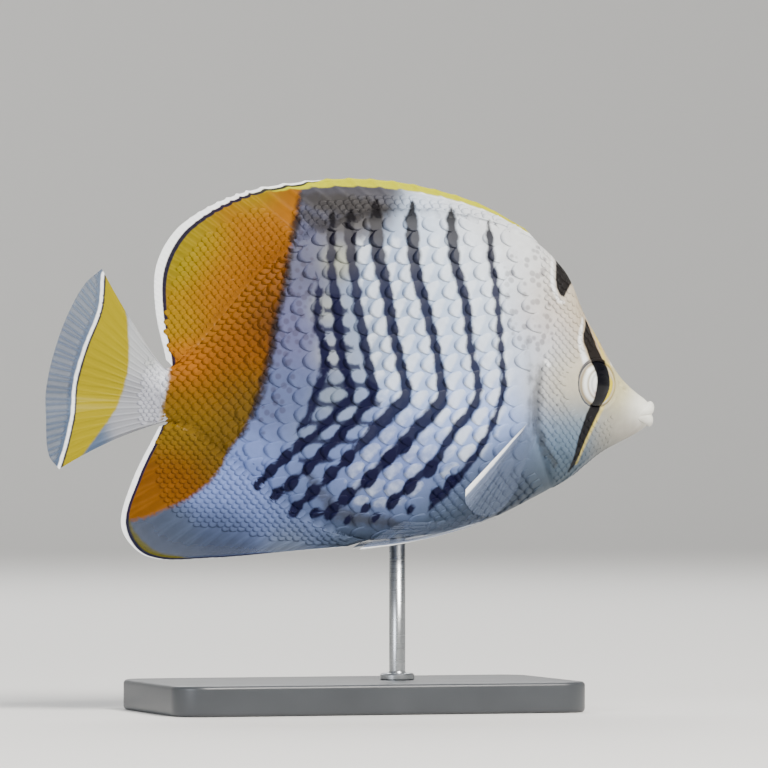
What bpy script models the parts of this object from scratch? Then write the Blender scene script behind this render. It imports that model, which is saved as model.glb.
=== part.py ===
"""A Seychelles butterflyfish, life-size, held over a flat base by one short rod.

Metres, +Z up. The fish swims along +X, so its right side faces -Y. The origin is the middle of
the base's underside. One smooth loft gives the whole body. The gill opening and a thin cut in
front of the tail part it into head, torso and tail stalk. Each fin is a thin web with its rays
raised on both faces, cut back to 0.3 mm from the body that it grows from.
"""

import math

import bmesh
import bpy
from mathutils import Matrix, Vector

# Gaps
GAP = 0.0003
BODY_CLEARANCE = 0.00034

# Midline of the fleshy body as (x, z), from the lips to the end of the tail stalk
BACK_LINE = (
    (0.0616, 0.0596), (0.0613, 0.0604), (0.0604, 0.0613), (0.0580, 0.0631), (0.0553, 0.0658),
    (0.0534, 0.0686), (0.0501, 0.0743), (0.0473, 0.0792), (0.0452, 0.0845), (0.0435, 0.0873),
    (0.0394, 0.0914), (0.0355, 0.0939), (0.0302, 0.0959), (0.0199, 0.0981), (0.0096, 0.0987),
    (-0.0007, 0.0975), (-0.0110, 0.0938), (-0.0213, 0.0863), (-0.0295, 0.0769), (-0.0345, 0.0700),
    (-0.0372, 0.0678), (-0.0400, 0.0672),
)
BELLY_LINE = (
    (0.0616, 0.0574), (0.0613, 0.0565), (0.0604, 0.0556), (0.0590, 0.0546), (0.0549, 0.0524),
    (0.0508, 0.0501), (0.0446, 0.0455), (0.0405, 0.0432), (0.0363, 0.0411), (0.0302, 0.0382),
    (0.0199, 0.0350), (0.0096, 0.0338), (0.0024, 0.0334), (-0.0048, 0.0350), (-0.0131, 0.0388),
    (-0.0213, 0.0441), (-0.0285, 0.0500), (-0.0340, 0.0550), (-0.0372, 0.0564), (-0.0400, 0.0570),
)
# Half the body's thickness, and the level where it is thickest
HALF_WIDTH = (
    (0.0616, 0.0009), (0.0613, 0.0014), (0.0604, 0.0019), (0.0580, 0.0026), (0.0545, 0.0037),
    (0.0510, 0.0053), (0.0470, 0.0066), (0.0420, 0.0079), (0.0360, 0.0089), (0.0290, 0.0094),
    (0.0200, 0.0093), (0.0100, 0.0086), (0.0000, 0.0074), (-0.0100, 0.0060), (-0.0200, 0.0045),
    (-0.0300, 0.0031), (-0.0360, 0.0023), (-0.0400, 0.0016),
)
WIDEST_LEVEL = (
    (0.0616, 0.0584), (0.0580, 0.0590), (0.0500, 0.0615), (0.0400, 0.0620), (0.0200, 0.0610),
    (0.0000, 0.0615), (-0.0200, 0.0620), (-0.0400, 0.0621),
)
# 1 gives a round edge and 2 a sharp one, for the back and for the belly
BACK_EDGE = (
    (0.0616, 1.00), (0.0540, 1.05), (0.0450, 1.15), (0.0350, 1.35), (0.0100, 1.45),
    (-0.0250, 1.40), (-0.0400, 1.10),
)
BELLY_EDGE = (
    (0.0616, 1.00), (0.0540, 1.02), (0.0400, 1.10), (0.0100, 1.12), (-0.0050, 1.30),
    (-0.0250, 1.40), (-0.0400, 1.10),
)
RING_POINTS = 30
HEAD_RING_STEP = 0.0017
TORSO_RING_STEP = 0.0037
SNOUT_RINGS = (0.0616, 0.0613, 0.0604)
BODY_END = -0.0400

# Edge of the gill cover, from the nape to the throat as (x, z)
GILL_EDGE = (
    (0.0392, 0.0940), (0.0400, 0.0830), (0.0385, 0.0745), (0.0360, 0.0680), (0.0350, 0.0610),
    (0.0357, 0.0545), (0.0385, 0.0480), (0.0420, 0.0415),
)
GILL_COVER_SPAN = (0.0425, 0.0790)
GILL_COVER_RISE = 0.0004
GILL_COVER_FADE = 0.0085
CHEEK_EDGE = (
    (0.0432, 0.0692), (0.0408, 0.0665), (0.0396, 0.0615), (0.0394, 0.0560), (0.0410, 0.0512),
    (0.0448, 0.0484), (0.0500, 0.0498),
)
CHEEK_SPAN = (0.0470, 0.0695)
CHEEK_RISE = 0.0006
CHEEK_FADE = 0.0060
GILL_COVER_SINK = 0.0002
CHEEK_SINK = 0.0003
PLATE_END = 0.0040
STALK_CUT_X = -0.0335

# Prisms that part the body, as (x, z) corners well clear of it
CUT_REACH = 0.0150
PRISM_LOW_Z = 0.0300
PRISM_HIGH_Z = 0.1100
PRISM_REAR_X = -0.0700
HEAD_PRISM_FRONT = ((0.0700, 0.0380), (0.0700, 0.0960))
TORSO_PRISM_LOW_X = 0.0418
TORSO_PRISM_HIGH_X = 0.0389
GILL_STEPS = 20
PLATE_INNER_Y = 0.0020
COVER_REAR_X = 0.0330
COVER_FRONT_X = 0.0500
CHEEK_STEPS = 14
CHEEK_FRONT = ((0.0500, 0.0600), (0.0440, 0.0640))

# Eye
EYE_CENTRE = (0.0482, 0.0043, 0.0642)
EYE_RADIUS = 0.0050
EYE_HALF_DEPTH = 0.0030
EYE_TURN = math.radians(20)
RIM_THICKNESS = 0.0004
RIM_LEVEL = 0.0014
PUPIL_RADIUS = 0.0021
PUPIL_RECESS = 0.00085
PUPIL_DOME = 1.05
EYE_SEGMENTS = 22
EYE_RINGS = 10
EYE_CUT_SEGMENTS = 24

# Mouth and nostrils
LIP_CORNER_X = 0.0594
LIP_HALF_WIDTH = 0.0018
LIPS = (("upper_lip", 0.0625, 0.0593, 0.0008), ("lower_lip", 0.0621, 0.05765, 0.00075))
LIP_CORNER_THICKNESS = 0.55
LIP_STEPS = 10
LIP_SIDES = 8
MOUTH_CORNER = (0.0588, 0.0580)
MOUTH_SLIT_X = 0.0640
MOUTH_OPEN = 0.0007
MOUTH_FRONT_Z = 0.0586
NOSTRILS = ((0.0555, 0.0631, 0.00042), (0.0544, 0.0643, 0.00034))
NOSTRIL_DEPTH = 0.0006
NOSTRIL_SEGMENTS = 10
NOSTRIL_RINGS = 6

# Fins: base and edge as (x, z) from the first ray to the last
DORSAL_BASE = (
    (0.0374, 0.0930), (0.0302, 0.0959), (0.0199, 0.0981), (0.0096, 0.0987), (-0.0007, 0.0975),
    (-0.0110, 0.0938), (-0.0213, 0.0863), (-0.0295, 0.0769), (-0.0345, 0.0702), (-0.0370, 0.0678),
)
DORSAL_EDGE = (
    (0.0353, 0.0951), (0.0256, 0.1001), (0.0127, 0.1036), (0.0013, 0.1048), (-0.0100, 0.1042),
    (-0.0235, 0.1017), (-0.0350, 0.0955), (-0.0400, 0.0880), (-0.0404, 0.0790), (-0.0382, 0.0690),
)
DORSAL_SPINES = 13
DORSAL_RAYS = 21
SPINY_SHARE = 0.57
DORSAL_BASE_LENGTH = 0.098
ANAL_BASE = (
    (0.0024, 0.0334), (-0.0048, 0.0350), (-0.0131, 0.0388), (-0.0213, 0.0441), (-0.0285, 0.0500),
    (-0.0340, 0.0550), (-0.0374, 0.0566),
)
ANAL_EDGE = (
    (-0.0018, 0.0322), (-0.0140, 0.0313), (-0.0290, 0.0302), (-0.0420, 0.0306), (-0.0472, 0.0362),
    (-0.0452, 0.0450), (-0.0396, 0.0560),
)
ANAL_SPINES = 3
ANAL_RAYS = 17
TAIL_BASE = (
    (-0.0386, 0.0672), (-0.0388, 0.0648), (-0.0389, 0.0620), (-0.0389, 0.0592), (-0.0387, 0.0568),
)
TAIL_EDGE = (
    (-0.0512, 0.0867), (-0.0547, 0.0836), (-0.0584, 0.0769), (-0.0608, 0.0690), (-0.0621, 0.0611),
    (-0.0624, 0.0552), (-0.0618, 0.0503), (-0.0598, 0.0477),
)
TAIL_RAYS = 17
TAIL_CREASE_AT = 0.62
TAIL_CREASE_ABOVE = 0.40
TAIL_CREASE_BELOW = 0.16
TAIL_CREASE_DEPTH = 0.0022
TAIL_RAY_BOW = 0.0009

# Paired fins of the right side; the left side mirrors them
PECTORAL_ROOT_LEVELS = (0.0567, 0.0532)
PECTORAL_ROOT_X = (0.0332, 0.0345)
PECTORAL_EDGE = (
    (0.0192, -0.0124, 0.0436), (0.0192, -0.0127, 0.0409), (0.0213, -0.0127, 0.0388),
    (0.0247, -0.0122, 0.0385), (0.0277, -0.0115, 0.0404), (0.0300, -0.0109, 0.0432),
)
PECTORAL_RAYS = 14
PELVIC_BASE = ((0.0262, -0.0022, 0.0372), (0.0232, -0.0035, 0.0388))
PELVIC_EDGE = (
    (0.0002, -0.0027, 0.0317), (0.0024, -0.0031, 0.0331), (0.0052, -0.0038, 0.0352),
    (0.0090, -0.0047, 0.0374),
)
PELVIC_BEND = (0.0, -0.0011, -0.0008)
PELVIC_RAYS = 6

# Thickness of the fins' webs at base and edge, and how far rays stand out from each face
WEB_EDGE = 0.0005
MEDIAN_ROOT = 0.0024
TAIL_ROOT = 0.0022
PAIRED_ROOT = 0.0009
SPINE_RIDGE = 0.00032
RAY_RIDGE = 0.00022
RIDGE_SHARE = 0.24
RIDGE_FADE = 0.45
SPINE_TIP = 0.10
TAIL_ROOT_REACH = 0.0034
WEB_TAPER = 1.6
TAIL_TAPER = 2.2
WEB_PROBE = 1e-4

# Rows of the webs, as shares of the way from base to edge; the first one is sunk in the body
MEDIAN_ROWS = (-0.45, 0.0, 0.35, 0.7, 1.0)
TAIL_ROWS = (-1.0, 0.0, 0.25, 0.5, 0.75, 1.0)
PECTORAL_ROWS = (-0.08, 0.0, 0.3, 0.65, 1.0)
PELVIC_ROWS = (-0.06, 0.0, 0.25, 0.5, 0.75, 1.0)

# Stand
BASE_SIZE = (0.0840, 0.0460, 0.0060)
BASE_CORNER = 0.0060
BASE_CORNER_SEGMENTS = 6
BASE_BEVEL = 0.0008
ROD_X = 0.0090
ROD_TOP = 0.0400
ROD_RADIUS = 0.0016
ROD_FOOT_DEPTH = 0.0030
ROD_COLLAR_RADIUS = 0.0034
ROD_COLLAR_HEIGHT = 0.0014
ROD_SIDES = 24

SHARP_ANGLE = math.radians(35)


def clamped(value):
    """The value, held between 0 and 1."""
    return min(max(value, 0.0), 1.0)


def slopes(points):
    """Tangents of a smooth curve through points, one for each point."""
    found = []
    for i, _ in enumerate(points):
        before, after = points[max(i - 1, 0)], points[min(i + 1, len(points) - 1)]
        found.append([b - a for a, b in zip(before, after)])
    return found


def hermite(a, b, da, db, t):
    """A cubic from a to b with end slopes da and db."""
    t2, t3 = t * t, t * t * t
    return (2 * t3 - 3 * t2 + 1) * a + (t3 - 2 * t2 + t) * da + (3 * t2 - 2 * t3) * b + (t3 - t2) * db


def height_at(points, x):
    """Reads a table of (x, value), with x falling, as a smooth curve."""
    if x >= points[0][0]:
        return points[0][1]
    if x <= points[-1][0]:
        return points[-1][1]
    i = next(k for k in range(len(points) - 1) if points[k + 1][0] <= x)
    (x0, v0), (x1, v1) = points[i], points[i + 1]

    def slope(k):
        low, high = points[max(k - 1, 0)], points[min(k + 1, len(points) - 1)]
        return (high[1] - low[1]) / (high[0] - low[0])

    step = x1 - x0
    return hermite(v0, v1, slope(i) * step, slope(i + 1) * step, (x - x0) / step)


def curve_point(points, share):
    """The point at a share, 0 to 1, of the way along a smooth curve through points."""
    lengths = [math.dist(a, b) for a, b in zip(points, points[1:])]
    rest = share * sum(lengths)
    i = 0
    while i < len(lengths) - 1 and rest > lengths[i]:
        rest -= lengths[i]
        i += 1
    t = rest / lengths[i]
    tangents = slopes(points)
    around = [lengths[max(k - 1, 0)] + lengths[min(k, len(lengths) - 1)] for k in (i, i + 1)]
    if i == 0:
        around[0] = lengths[0]
    if i == len(lengths) - 1:
        around[1] = lengths[-1]
    return Vector(
        hermite(a, b, da * lengths[i] / around[0], db * lengths[i] / around[1], t)
        for a, b, da, db in zip(points[i], points[i + 1], tangents[i], tangents[i + 1])
    )


def body_point(x, angle):
    """A point of the body's skin in the slice at x; angle 0 is the back and pi the belly."""
    level = height_at(WIDEST_LEVEL, x)
    up = math.cos(angle) >= 0
    end = height_at(BACK_LINE, x) if up else height_at(BELLY_LINE, x)
    edge = height_at(BACK_EDGE, x) if up else height_at(BELLY_EDGE, x)
    side = math.sin(angle)
    y = height_at(HALF_WIDTH, x) * math.copysign(abs(side) ** edge, side)
    return Vector((x, y, level + abs(end - level) * math.cos(angle)))


def half_thickness(x, z):
    """The body's half thickness at (x, z), or 0 outside its outline."""
    level = height_at(WIDEST_LEVEL, x)
    up = z >= level
    end = height_at(BACK_LINE, x) if up else height_at(BELLY_LINE, x)
    edge = height_at(BACK_EDGE, x) if up else height_at(BELLY_EDGE, x)
    share = min(abs(z - level) / abs(end - level), 1.0)
    return height_at(HALF_WIDTH, x) * (1 - share * share) ** (edge / 2)


def ring_places():
    """The x of each ring of the loft: close together on the head, wider apart behind it."""
    places = list(SNOUT_RINGS)
    head_end = GILL_EDGE[4][0] - HEAD_RING_STEP
    while places[-1] - HEAD_RING_STEP > head_end:
        places.append(places[-1] - HEAD_RING_STEP)
    count = round((places[-1] - BODY_END) / TORSO_RING_STEP)
    step = (places[-1] - BODY_END) / count
    return places + [places[-1] - step * (k + 1) for k in range(count)]


def add_object(name, mesh, collection):
    """A new object that shows the mesh, in the collection."""
    piece = bpy.data.objects.new(name, mesh)
    collection.objects.link(piece)
    return piece


def mesh_from(name, build):
    """A mesh that build fills in through bmesh, with its faces turned outwards."""
    shape = bmesh.new()
    build(shape)
    bmesh.ops.recalc_face_normals(shape, faces=shape.faces)
    mesh = bpy.data.meshes.new(name)
    shape.to_mesh(mesh)
    shape.free()
    return mesh


def body_loft(name, collection, rise=None):
    """The whole body without fins, as one closed loft. Its sides stand out by rise(x, z)."""

    def build(shape):
        rings = []
        for x in ring_places():
            ring = []
            for k in range(RING_POINTS):
                point = body_point(x, 2 * math.pi * k / RING_POINTS)
                if rise and abs(point.y) > CHEEK_SINK:
                    point.y += math.copysign(1.0, point.y) * rise(point.x, point.z)
                ring.append(shape.verts.new(point))
            rings.append(ring)
        for a, b in zip(rings, rings[1:]):
            for k in range(RING_POINTS):
                after = (k + 1) % RING_POINTS
                shape.faces.new((a[k], a[after], b[after], b[k]))
        shape.faces.new(rings[0])
        shape.faces.new(rings[-1])

    return add_object(name, mesh_from(name, build), collection)


def applied(piece):
    """Makes the piece's modifiers permanent."""
    graph = bpy.context.evaluated_depsgraph_get()
    graph.update()
    mesh = bpy.data.meshes.new_from_object(piece.evaluated_get(graph))
    piece.modifiers.clear()
    piece.data = mesh
    return piece


def copy_of(piece, name, collection):
    """A separate copy of the piece."""
    return add_object(name, piece.data.copy(), collection)


def grown(piece, by, name, collection):
    """A copy whose surface stands out from the piece by a distance."""
    bigger = copy_of(piece, name, collection)
    swell = bigger.modifiers.new("swell", "DISPLACE")
    swell.strength = by
    swell.mid_level = 0.0
    return applied(bigger)


def keep_largest(piece):
    """Deletes every closed surface of the piece but the one that holds most."""
    shape = bmesh.new()
    shape.from_mesh(piece.data)
    shape.verts.ensure_lookup_table()
    seen, groups = set(), []
    for start in shape.verts:
        if start in seen:
            continue
        seen.add(start)
        group, waiting = [], [start]
        while waiting:
            vert = waiting.pop()
            group.append(vert)
            for edge in vert.link_edges:
                other = edge.other_vert(vert)
                if other not in seen:
                    seen.add(other)
                    waiting.append(other)
        groups.append(group)

    def volume(group):
        faces = {face for vert in group for face in vert.link_faces}
        total = 0.0
        for face in faces:
            corners = [v.co for v in face.verts]
            for b, c in zip(corners[1:], corners[2:]):
                total += corners[0].dot(b.cross(c)) / 6
        return total

    best = max(groups, key=volume)
    lost = [vert for group in groups if group is not best for vert in group]
    bmesh.ops.delete(shape, geom=lost, context="VERTS")
    shape.to_mesh(piece.data)
    shape.free()
    return piece


def cut(piece, cutter, operation="DIFFERENCE"):
    """Applies one Boolean of the piece with another object."""
    step = piece.modifiers.new("cut", "BOOLEAN")
    step.operation = operation
    step.object = cutter
    return keep_largest(applied(piece))


def joined(piece, extras):
    """Fuses the extra objects into the piece by one union, then removes them."""
    group = bpy.data.collections.new(piece.name + "_pieces")
    bpy.context.scene.collection.children.link(group)
    for extra in extras:
        for holder in list(extra.users_collection):
            holder.objects.unlink(extra)
        group.objects.link(extra)
    step = piece.modifiers.new("join", "BOOLEAN")
    step.operation = "UNION"
    step.operand_type = "COLLECTION"
    step.collection = group
    applied(piece)
    for extra in list(group.objects):
        bpy.data.objects.remove(extra)
    bpy.data.collections.remove(group)
    return keep_largest(piece)


def side_prism(name, outline, low_y, high_y, collection):
    """A prism along Y whose outline is given as (x, z) points."""

    def build(shape):
        near = [shape.verts.new((x, low_y, z)) for x, z in outline]
        far = [shape.verts.new((x, high_y, z)) for x, z in outline]
        shape.faces.new(near)
        shape.faces.new(far)
        for k, _ in enumerate(outline):
            after = (k + 1) % len(outline)
            shape.faces.new((near[k], near[after], far[after], far[k]))

    return add_object(name, mesh_from(name, build), collection)


def smooth_line(points, steps):
    """Points along a smooth curve, ends included."""
    return [curve_point(points, k / steps) for k in range(steps + 1)]


def shifted(line, by):
    """The line moved along X."""
    return [(p[0] + by, p[1]) for p in line]


def placed(centre, turn):
    """The matrix of a piece at a centre, turned about Z."""
    return Matrix.Translation(centre) @ Matrix.Rotation(turn, 4, "Z")


def ellipsoid(name, centre, radii, collection, turn=0.0, segments=EYE_SEGMENTS, rings=EYE_RINGS):
    """A closed ellipsoid with its depth along Y, turned about Z."""

    def build(shape):
        bmesh.ops.create_uvsphere(shape, u_segments=segments, v_segments=rings, radius=1.0)
        pole_to_side = Matrix.Rotation(math.radians(90), 4, "X")
        place = placed(centre, turn) @ Matrix.Diagonal((*radii, 1.0))
        bmesh.ops.transform(shape, matrix=place @ pole_to_side, verts=shape.verts)

    return add_object(name, mesh_from(name, build), collection)


def side_cylinder(name, centre, radius, depth, collection, turn):
    """A closed cylinder with its axis along Y, turned about Z."""

    def build(shape):
        bmesh.ops.create_cone(
            shape, cap_ends=True, segments=EYE_CUT_SEGMENTS, radius1=radius, radius2=radius, depth=depth
        )
        lay = Matrix.Rotation(math.radians(90), 4, "X")
        bmesh.ops.transform(shape, matrix=placed(centre, turn) @ lay, verts=shape.verts)

    return add_object(name, mesh_from(name, build), collection)


def eye_turn(side):
    """The turn about Z that points the eye's axis forwards and out; side is -1 on the right."""
    return -side * EYE_TURN


def eye_axis(side):
    """The direction in which the eye looks."""
    turn = eye_turn(side)
    return Vector((-math.sin(turn), math.cos(turn), 0.0)) * side


def eye_centre(side):
    """The middle of the eyeball on one side."""
    return Vector((EYE_CENTRE[0], EYE_CENTRE[1] * side, EYE_CENTRE[2]))


def eye_solid(name, side, extra, collection):
    """The eyeball, or one grown by extra for its socket."""
    radii = (EYE_RADIUS + extra, EYE_HALF_DEPTH + extra, EYE_RADIUS + extra)
    return ellipsoid(name, eye_centre(side), radii, collection, eye_turn(side))


def level_tube(name, path, radii, collection):
    """A round tube with flat ends along a level path."""

    def build(shape):
        rings = []
        for i, point in enumerate(path):
            along = path[min(i + 1, len(path) - 1)] - path[max(i - 1, 0)]
            across = Vector((along.y, -along.x, 0.0)).normalized()
            ring = []
            for k in range(LIP_SIDES):
                turn = 2 * math.pi * k / LIP_SIDES
                offset = across * math.cos(turn) + Vector((0.0, 0.0, math.sin(turn)))
                ring.append(shape.verts.new(point + offset * radii[i]))
            rings.append(ring)
        for a, b in zip(rings, rings[1:]):
            for k in range(LIP_SIDES):
                after = (k + 1) % LIP_SIDES
                shape.faces.new((a[k], a[after], b[after], b[k]))
        shape.faces.new(rings[0])
        shape.faces.new(rings[-1])

    return add_object(name, mesh_from(name, build), collection)


def socket_rim(side, collection):
    """The fleshy cup round the eye, cut off flat so that the front of the eye stands out of it."""
    rim = eye_solid("rim", side, GAP + RIM_THICKNESS, collection)
    middle = eye_centre(side) + eye_axis(side) * (RIM_LEVEL - EYE_RADIUS)
    reach = EYE_RADIUS * 2
    block = side_cylinder("rim_block", middle, reach, reach, collection, eye_turn(side))
    return cut(rim, block, "INTERSECT")


def lip(name, front_x, level, thickness, collection):
    """A lip that runs from one corner of the mouth round the snout to the other."""
    path, radii = [], []
    for k in range(LIP_STEPS + 1):
        turn = math.pi * (k / LIP_STEPS - 0.5)
        reach = math.cos(turn)
        x = LIP_CORNER_X + (front_x - thickness - LIP_CORNER_X) * reach
        path.append(Vector((x, LIP_HALF_WIDTH * math.sin(turn), level)))
        radii.append(thickness * (LIP_CORNER_THICKNESS + (1 - LIP_CORNER_THICKNESS) * reach))
    return level_tube(name, path, radii, collection)


def plate_rise(edge, span, height, fade, sink):
    """How far a bony plate stands out: full height at its rear edge, and sunk under the skin at
    its top, its bottom and, a distance fade ahead, its front."""
    table = sorted(((z, x) for x, z in edge), reverse=True)
    low, high = span

    def rise(x, z):
        ahead = (x - height_at(table, z)) / fade
        share = min(1.0, 1.0 - ahead, (z - low) / PLATE_END, (high - z) / PLATE_END)
        return (height + sink) * max(share, 0.0) - sink

    return rise


def make_plates(side, tools):
    """The gill cover and the cheek plate in front of it, each standing out most at its rear edge."""
    low, high = GILL_COVER_SPAN
    cover = [(COVER_REAR_X, high), (COVER_REAR_X, low), (COVER_FRONT_X, low), (COVER_FRONT_X, high)]
    cover_rise = plate_rise(
        GILL_EDGE, GILL_COVER_SPAN, GILL_COVER_RISE, GILL_COVER_FADE, GILL_COVER_SINK
    )
    cheek = [*smooth_line(CHEEK_EDGE, CHEEK_STEPS), *CHEEK_FRONT]
    cheek_rise = plate_rise(CHEEK_EDGE[:-1], CHEEK_SPAN, CHEEK_RISE, CHEEK_FADE, CHEEK_SINK)
    reach = sorted((PLATE_INNER_Y * side, CUT_REACH * side))
    plates = []
    for name, outline, rise in (("gill_plate", cover, cover_rise), ("cheek_plate", cheek, cheek_rise)):
        plate = body_loft(name, tools, rise)
        plates.append(cut(plate, side_prism(name + "_prism", outline, *reach, tools), "INTERSECT"))
    return plates


def make_head(body, collection, tools):
    """The head up to the gill opening, with its plates, lips, mouth, nostrils and eye sockets."""
    head = copy_of(body, "head", collection)
    pieces = [lip(*row, tools) for row in LIPS]
    for side in (-1, 1):
        pieces += [*make_plates(side, tools), socket_rim(side, tools)]
    joined(head, pieces)
    front = [*smooth_line(GILL_EDGE, GILL_STEPS), *HEAD_PRISM_FRONT]
    cut(head, side_prism("front_prism", front, -CUT_REACH, CUT_REACH, tools), "INTERSECT")
    slit = [
        MOUTH_CORNER,
        (MOUTH_SLIT_X, MOUTH_FRONT_Z + MOUTH_OPEN / 2),
        (MOUTH_SLIT_X, MOUTH_FRONT_Z - MOUTH_OPEN / 2),
    ]
    cut(head, side_prism("mouth_slit", slit, -CUT_REACH, CUT_REACH, tools))
    for side in (-1, 1):
        cut(head, eye_solid("socket", side, GAP, tools))
        for x, z, radius in NOSTRILS:
            centre = (x, (half_thickness(x, z) + radius) * side, z)
            radii = (radius, NOSTRIL_DEPTH + radius, radius)
            pit = ellipsoid(
                "nostril", centre, radii, tools, segments=NOSTRIL_SEGMENTS, rings=NOSTRIL_RINGS
            )
            cut(head, pit)
    return head


def make_torso_and_stalk(body, collection, tools):
    """The body behind the gill opening, and the tail stalk behind a thin upright cut."""
    behind = [
        *shifted(smooth_line(GILL_EDGE, GILL_STEPS), -GAP),
        (TORSO_PRISM_LOW_X, PRISM_LOW_Z),
        (STALK_CUT_X, PRISM_LOW_Z),
        (STALK_CUT_X, PRISM_HIGH_Z),
        (TORSO_PRISM_HIGH_X, PRISM_HIGH_Z),
    ]
    torso = cut(
        copy_of(body, "torso", collection),
        side_prism("torso_prism", behind, -CUT_REACH, CUT_REACH, tools),
        "INTERSECT",
    )
    rear_x = STALK_CUT_X - GAP
    rear = [
        (rear_x, PRISM_LOW_Z),
        (PRISM_REAR_X, PRISM_LOW_Z),
        (PRISM_REAR_X, PRISM_HIGH_Z),
        (rear_x, PRISM_HIGH_Z),
    ]
    stalk = cut(
        copy_of(body, "tail_stalk", collection),
        side_prism("stalk_prism", rear, -CUT_REACH, CUT_REACH, tools),
        "INTERSECT",
    )
    return torso, stalk


def ray_columns(count, first, last, close=False):
    """Where the columns of a web lie, as (share along the base, is on a ray). Between close rays
    the web is one valley; between wider ones each ray has a foot on either side."""
    spacing = (last - first) / count
    columns = [(first, False)]
    for k in range(count):
        middle = first + (k + 0.5) * spacing
        if close:
            columns += [(middle, True), (middle + spacing / 2, False)]
        else:
            foot = RIDGE_SHARE * spacing
            columns += [(middle - foot, False), (middle, True), (middle + foot, False)]
    return columns if close else [*columns, (last, False)]


def make_web(name, columns, rows, place, thickness, ridge, collection, spiky=0.0):
    """A closed fin web. place(s, r) is its middle surface, thickness(r) its web's thickness, and
    ridge(r) how far a ray stands out from each face. Both faces are split into like triangles."""

    def build(shape):
        sides = ([], [])
        for s, on_ray in columns:
            end = 1.0 if on_ray or not spiky else 1.0 - spiky
            lines = ([], [])
            for r in rows:
                here = min(r, end) if r > 0 else r
                along = place(s + WEB_PROBE, here) - place(s - WEB_PROBE, here)
                out = place(s, here + WEB_PROBE) - place(s, here - WEB_PROBE)
                normal = along.cross(out).normalized()
                half = thickness(here) / 2 + (ridge(here) if on_ray else 0.0)
                for line, sign in zip(lines, (1, -1)):
                    line.append(shape.verts.new(place(s, here) + normal * half * sign))
            sides[0].append(lines[0])
            sides[1].append(lines[1])
        last_row, last_column = len(rows) - 1, len(columns) - 1
        for grid in sides:
            for i in range(last_column):
                for j in range(last_row):
                    a, b, c, d = grid[i][j], grid[i + 1][j], grid[i + 1][j + 1], grid[i][j + 1]
                    shape.faces.new((a, b, c))
                    shape.faces.new((a, c, d))
        near, far = sides
        for i in range(last_column):
            for j in (0, last_row):
                shape.faces.new((near[i][j], near[i + 1][j], far[i + 1][j], far[i][j]))
        for j in range(last_row):
            for i in (0, last_column):
                shape.faces.new((near[i][j], near[i][j + 1], far[i][j + 1], far[i][j]))

    return add_object(name, mesh_from(name, build), collection)


def ruled(base, edge, root=None):
    """The flat web between a base line and an edge line in the middle plane, as place(s, r). A
    negative r goes inwards: along root where it is given, or else straight on along the ray."""

    def place(s, r):
        s = clamped(s)
        low, high = curve_point(base, s), curve_point(edge, s)
        reach = high - low if r >= 0 or root is None else -Vector(root)
        point = low + reach * r
        return Vector((point.x, 0.0, point.y))

    return place


def fin_thickness(root, power=WEB_TAPER):
    """A web's thickness as a function of r, from its root to its edge."""
    return lambda r: WEB_EDGE + (root - WEB_EDGE) * (1 - clamped(r)) ** power


def ridge_height(height):
    """How far a ray stands out as a function of r."""
    return lambda r: height * (1 - RIDGE_FADE * clamped(r))


def make_median_fins(clear_body, collection):
    """Dorsal fin in a spiny and a soft part, anal fin, and tail fin."""
    dorsal = ruled(DORSAL_BASE, DORSAL_EDGE)
    split = GAP / 2 / DORSAL_BASE_LENGTH
    spiny = make_web(
        "dorsal_fin_spiny", ray_columns(DORSAL_SPINES, 0.0, SPINY_SHARE - split), MEDIAN_ROWS, dorsal,
        fin_thickness(MEDIAN_ROOT), ridge_height(SPINE_RIDGE), collection, spiky=SPINE_TIP,
    )
    soft = make_web(
        "dorsal_fin_soft", ray_columns(DORSAL_RAYS, SPINY_SHARE + split, 1.0, close=True),
        MEDIAN_ROWS, dorsal, fin_thickness(MEDIAN_ROOT), ridge_height(RAY_RIDGE), collection,
    )
    anal = make_web(
        "anal_fin", ray_columns(ANAL_SPINES + ANAL_RAYS, 0.0, 1.0, close=True), MEDIAN_ROWS,
        ruled(ANAL_BASE, ANAL_EDGE), fin_thickness(MEDIAN_ROOT), ridge_height(RAY_RIDGE), collection,
    )
    flat_tail = ruled(TAIL_BASE, TAIL_EDGE, root=(TAIL_ROOT_REACH, 0.0))

    def tail(s, r):
        point = flat_tail(s, r)
        reach = clamped(r)
        width = TAIL_CREASE_ABOVE if s < TAIL_CREASE_AT else TAIL_CREASE_BELOW
        away = max(0.0, 1 - abs(s - TAIL_CREASE_AT) / width)
        point.y += TAIL_CREASE_DEPTH * reach**1.5 * away * away * (3 - 2 * away)
        point.z += TAIL_RAY_BOW * 4 * reach * (1 - reach) * (2 * s - 1)
        return point

    caudal = make_web(
        "caudal_fin", ray_columns(TAIL_RAYS, 0.0, 1.0, close=True), TAIL_ROWS, tail,
        fin_thickness(TAIL_ROOT, TAIL_TAPER), ridge_height(RAY_RIDGE), collection,
    )
    fins = [spiny, soft, anal, caudal]
    for fin in fins:
        cut(fin, clear_body)
    return fins


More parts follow.
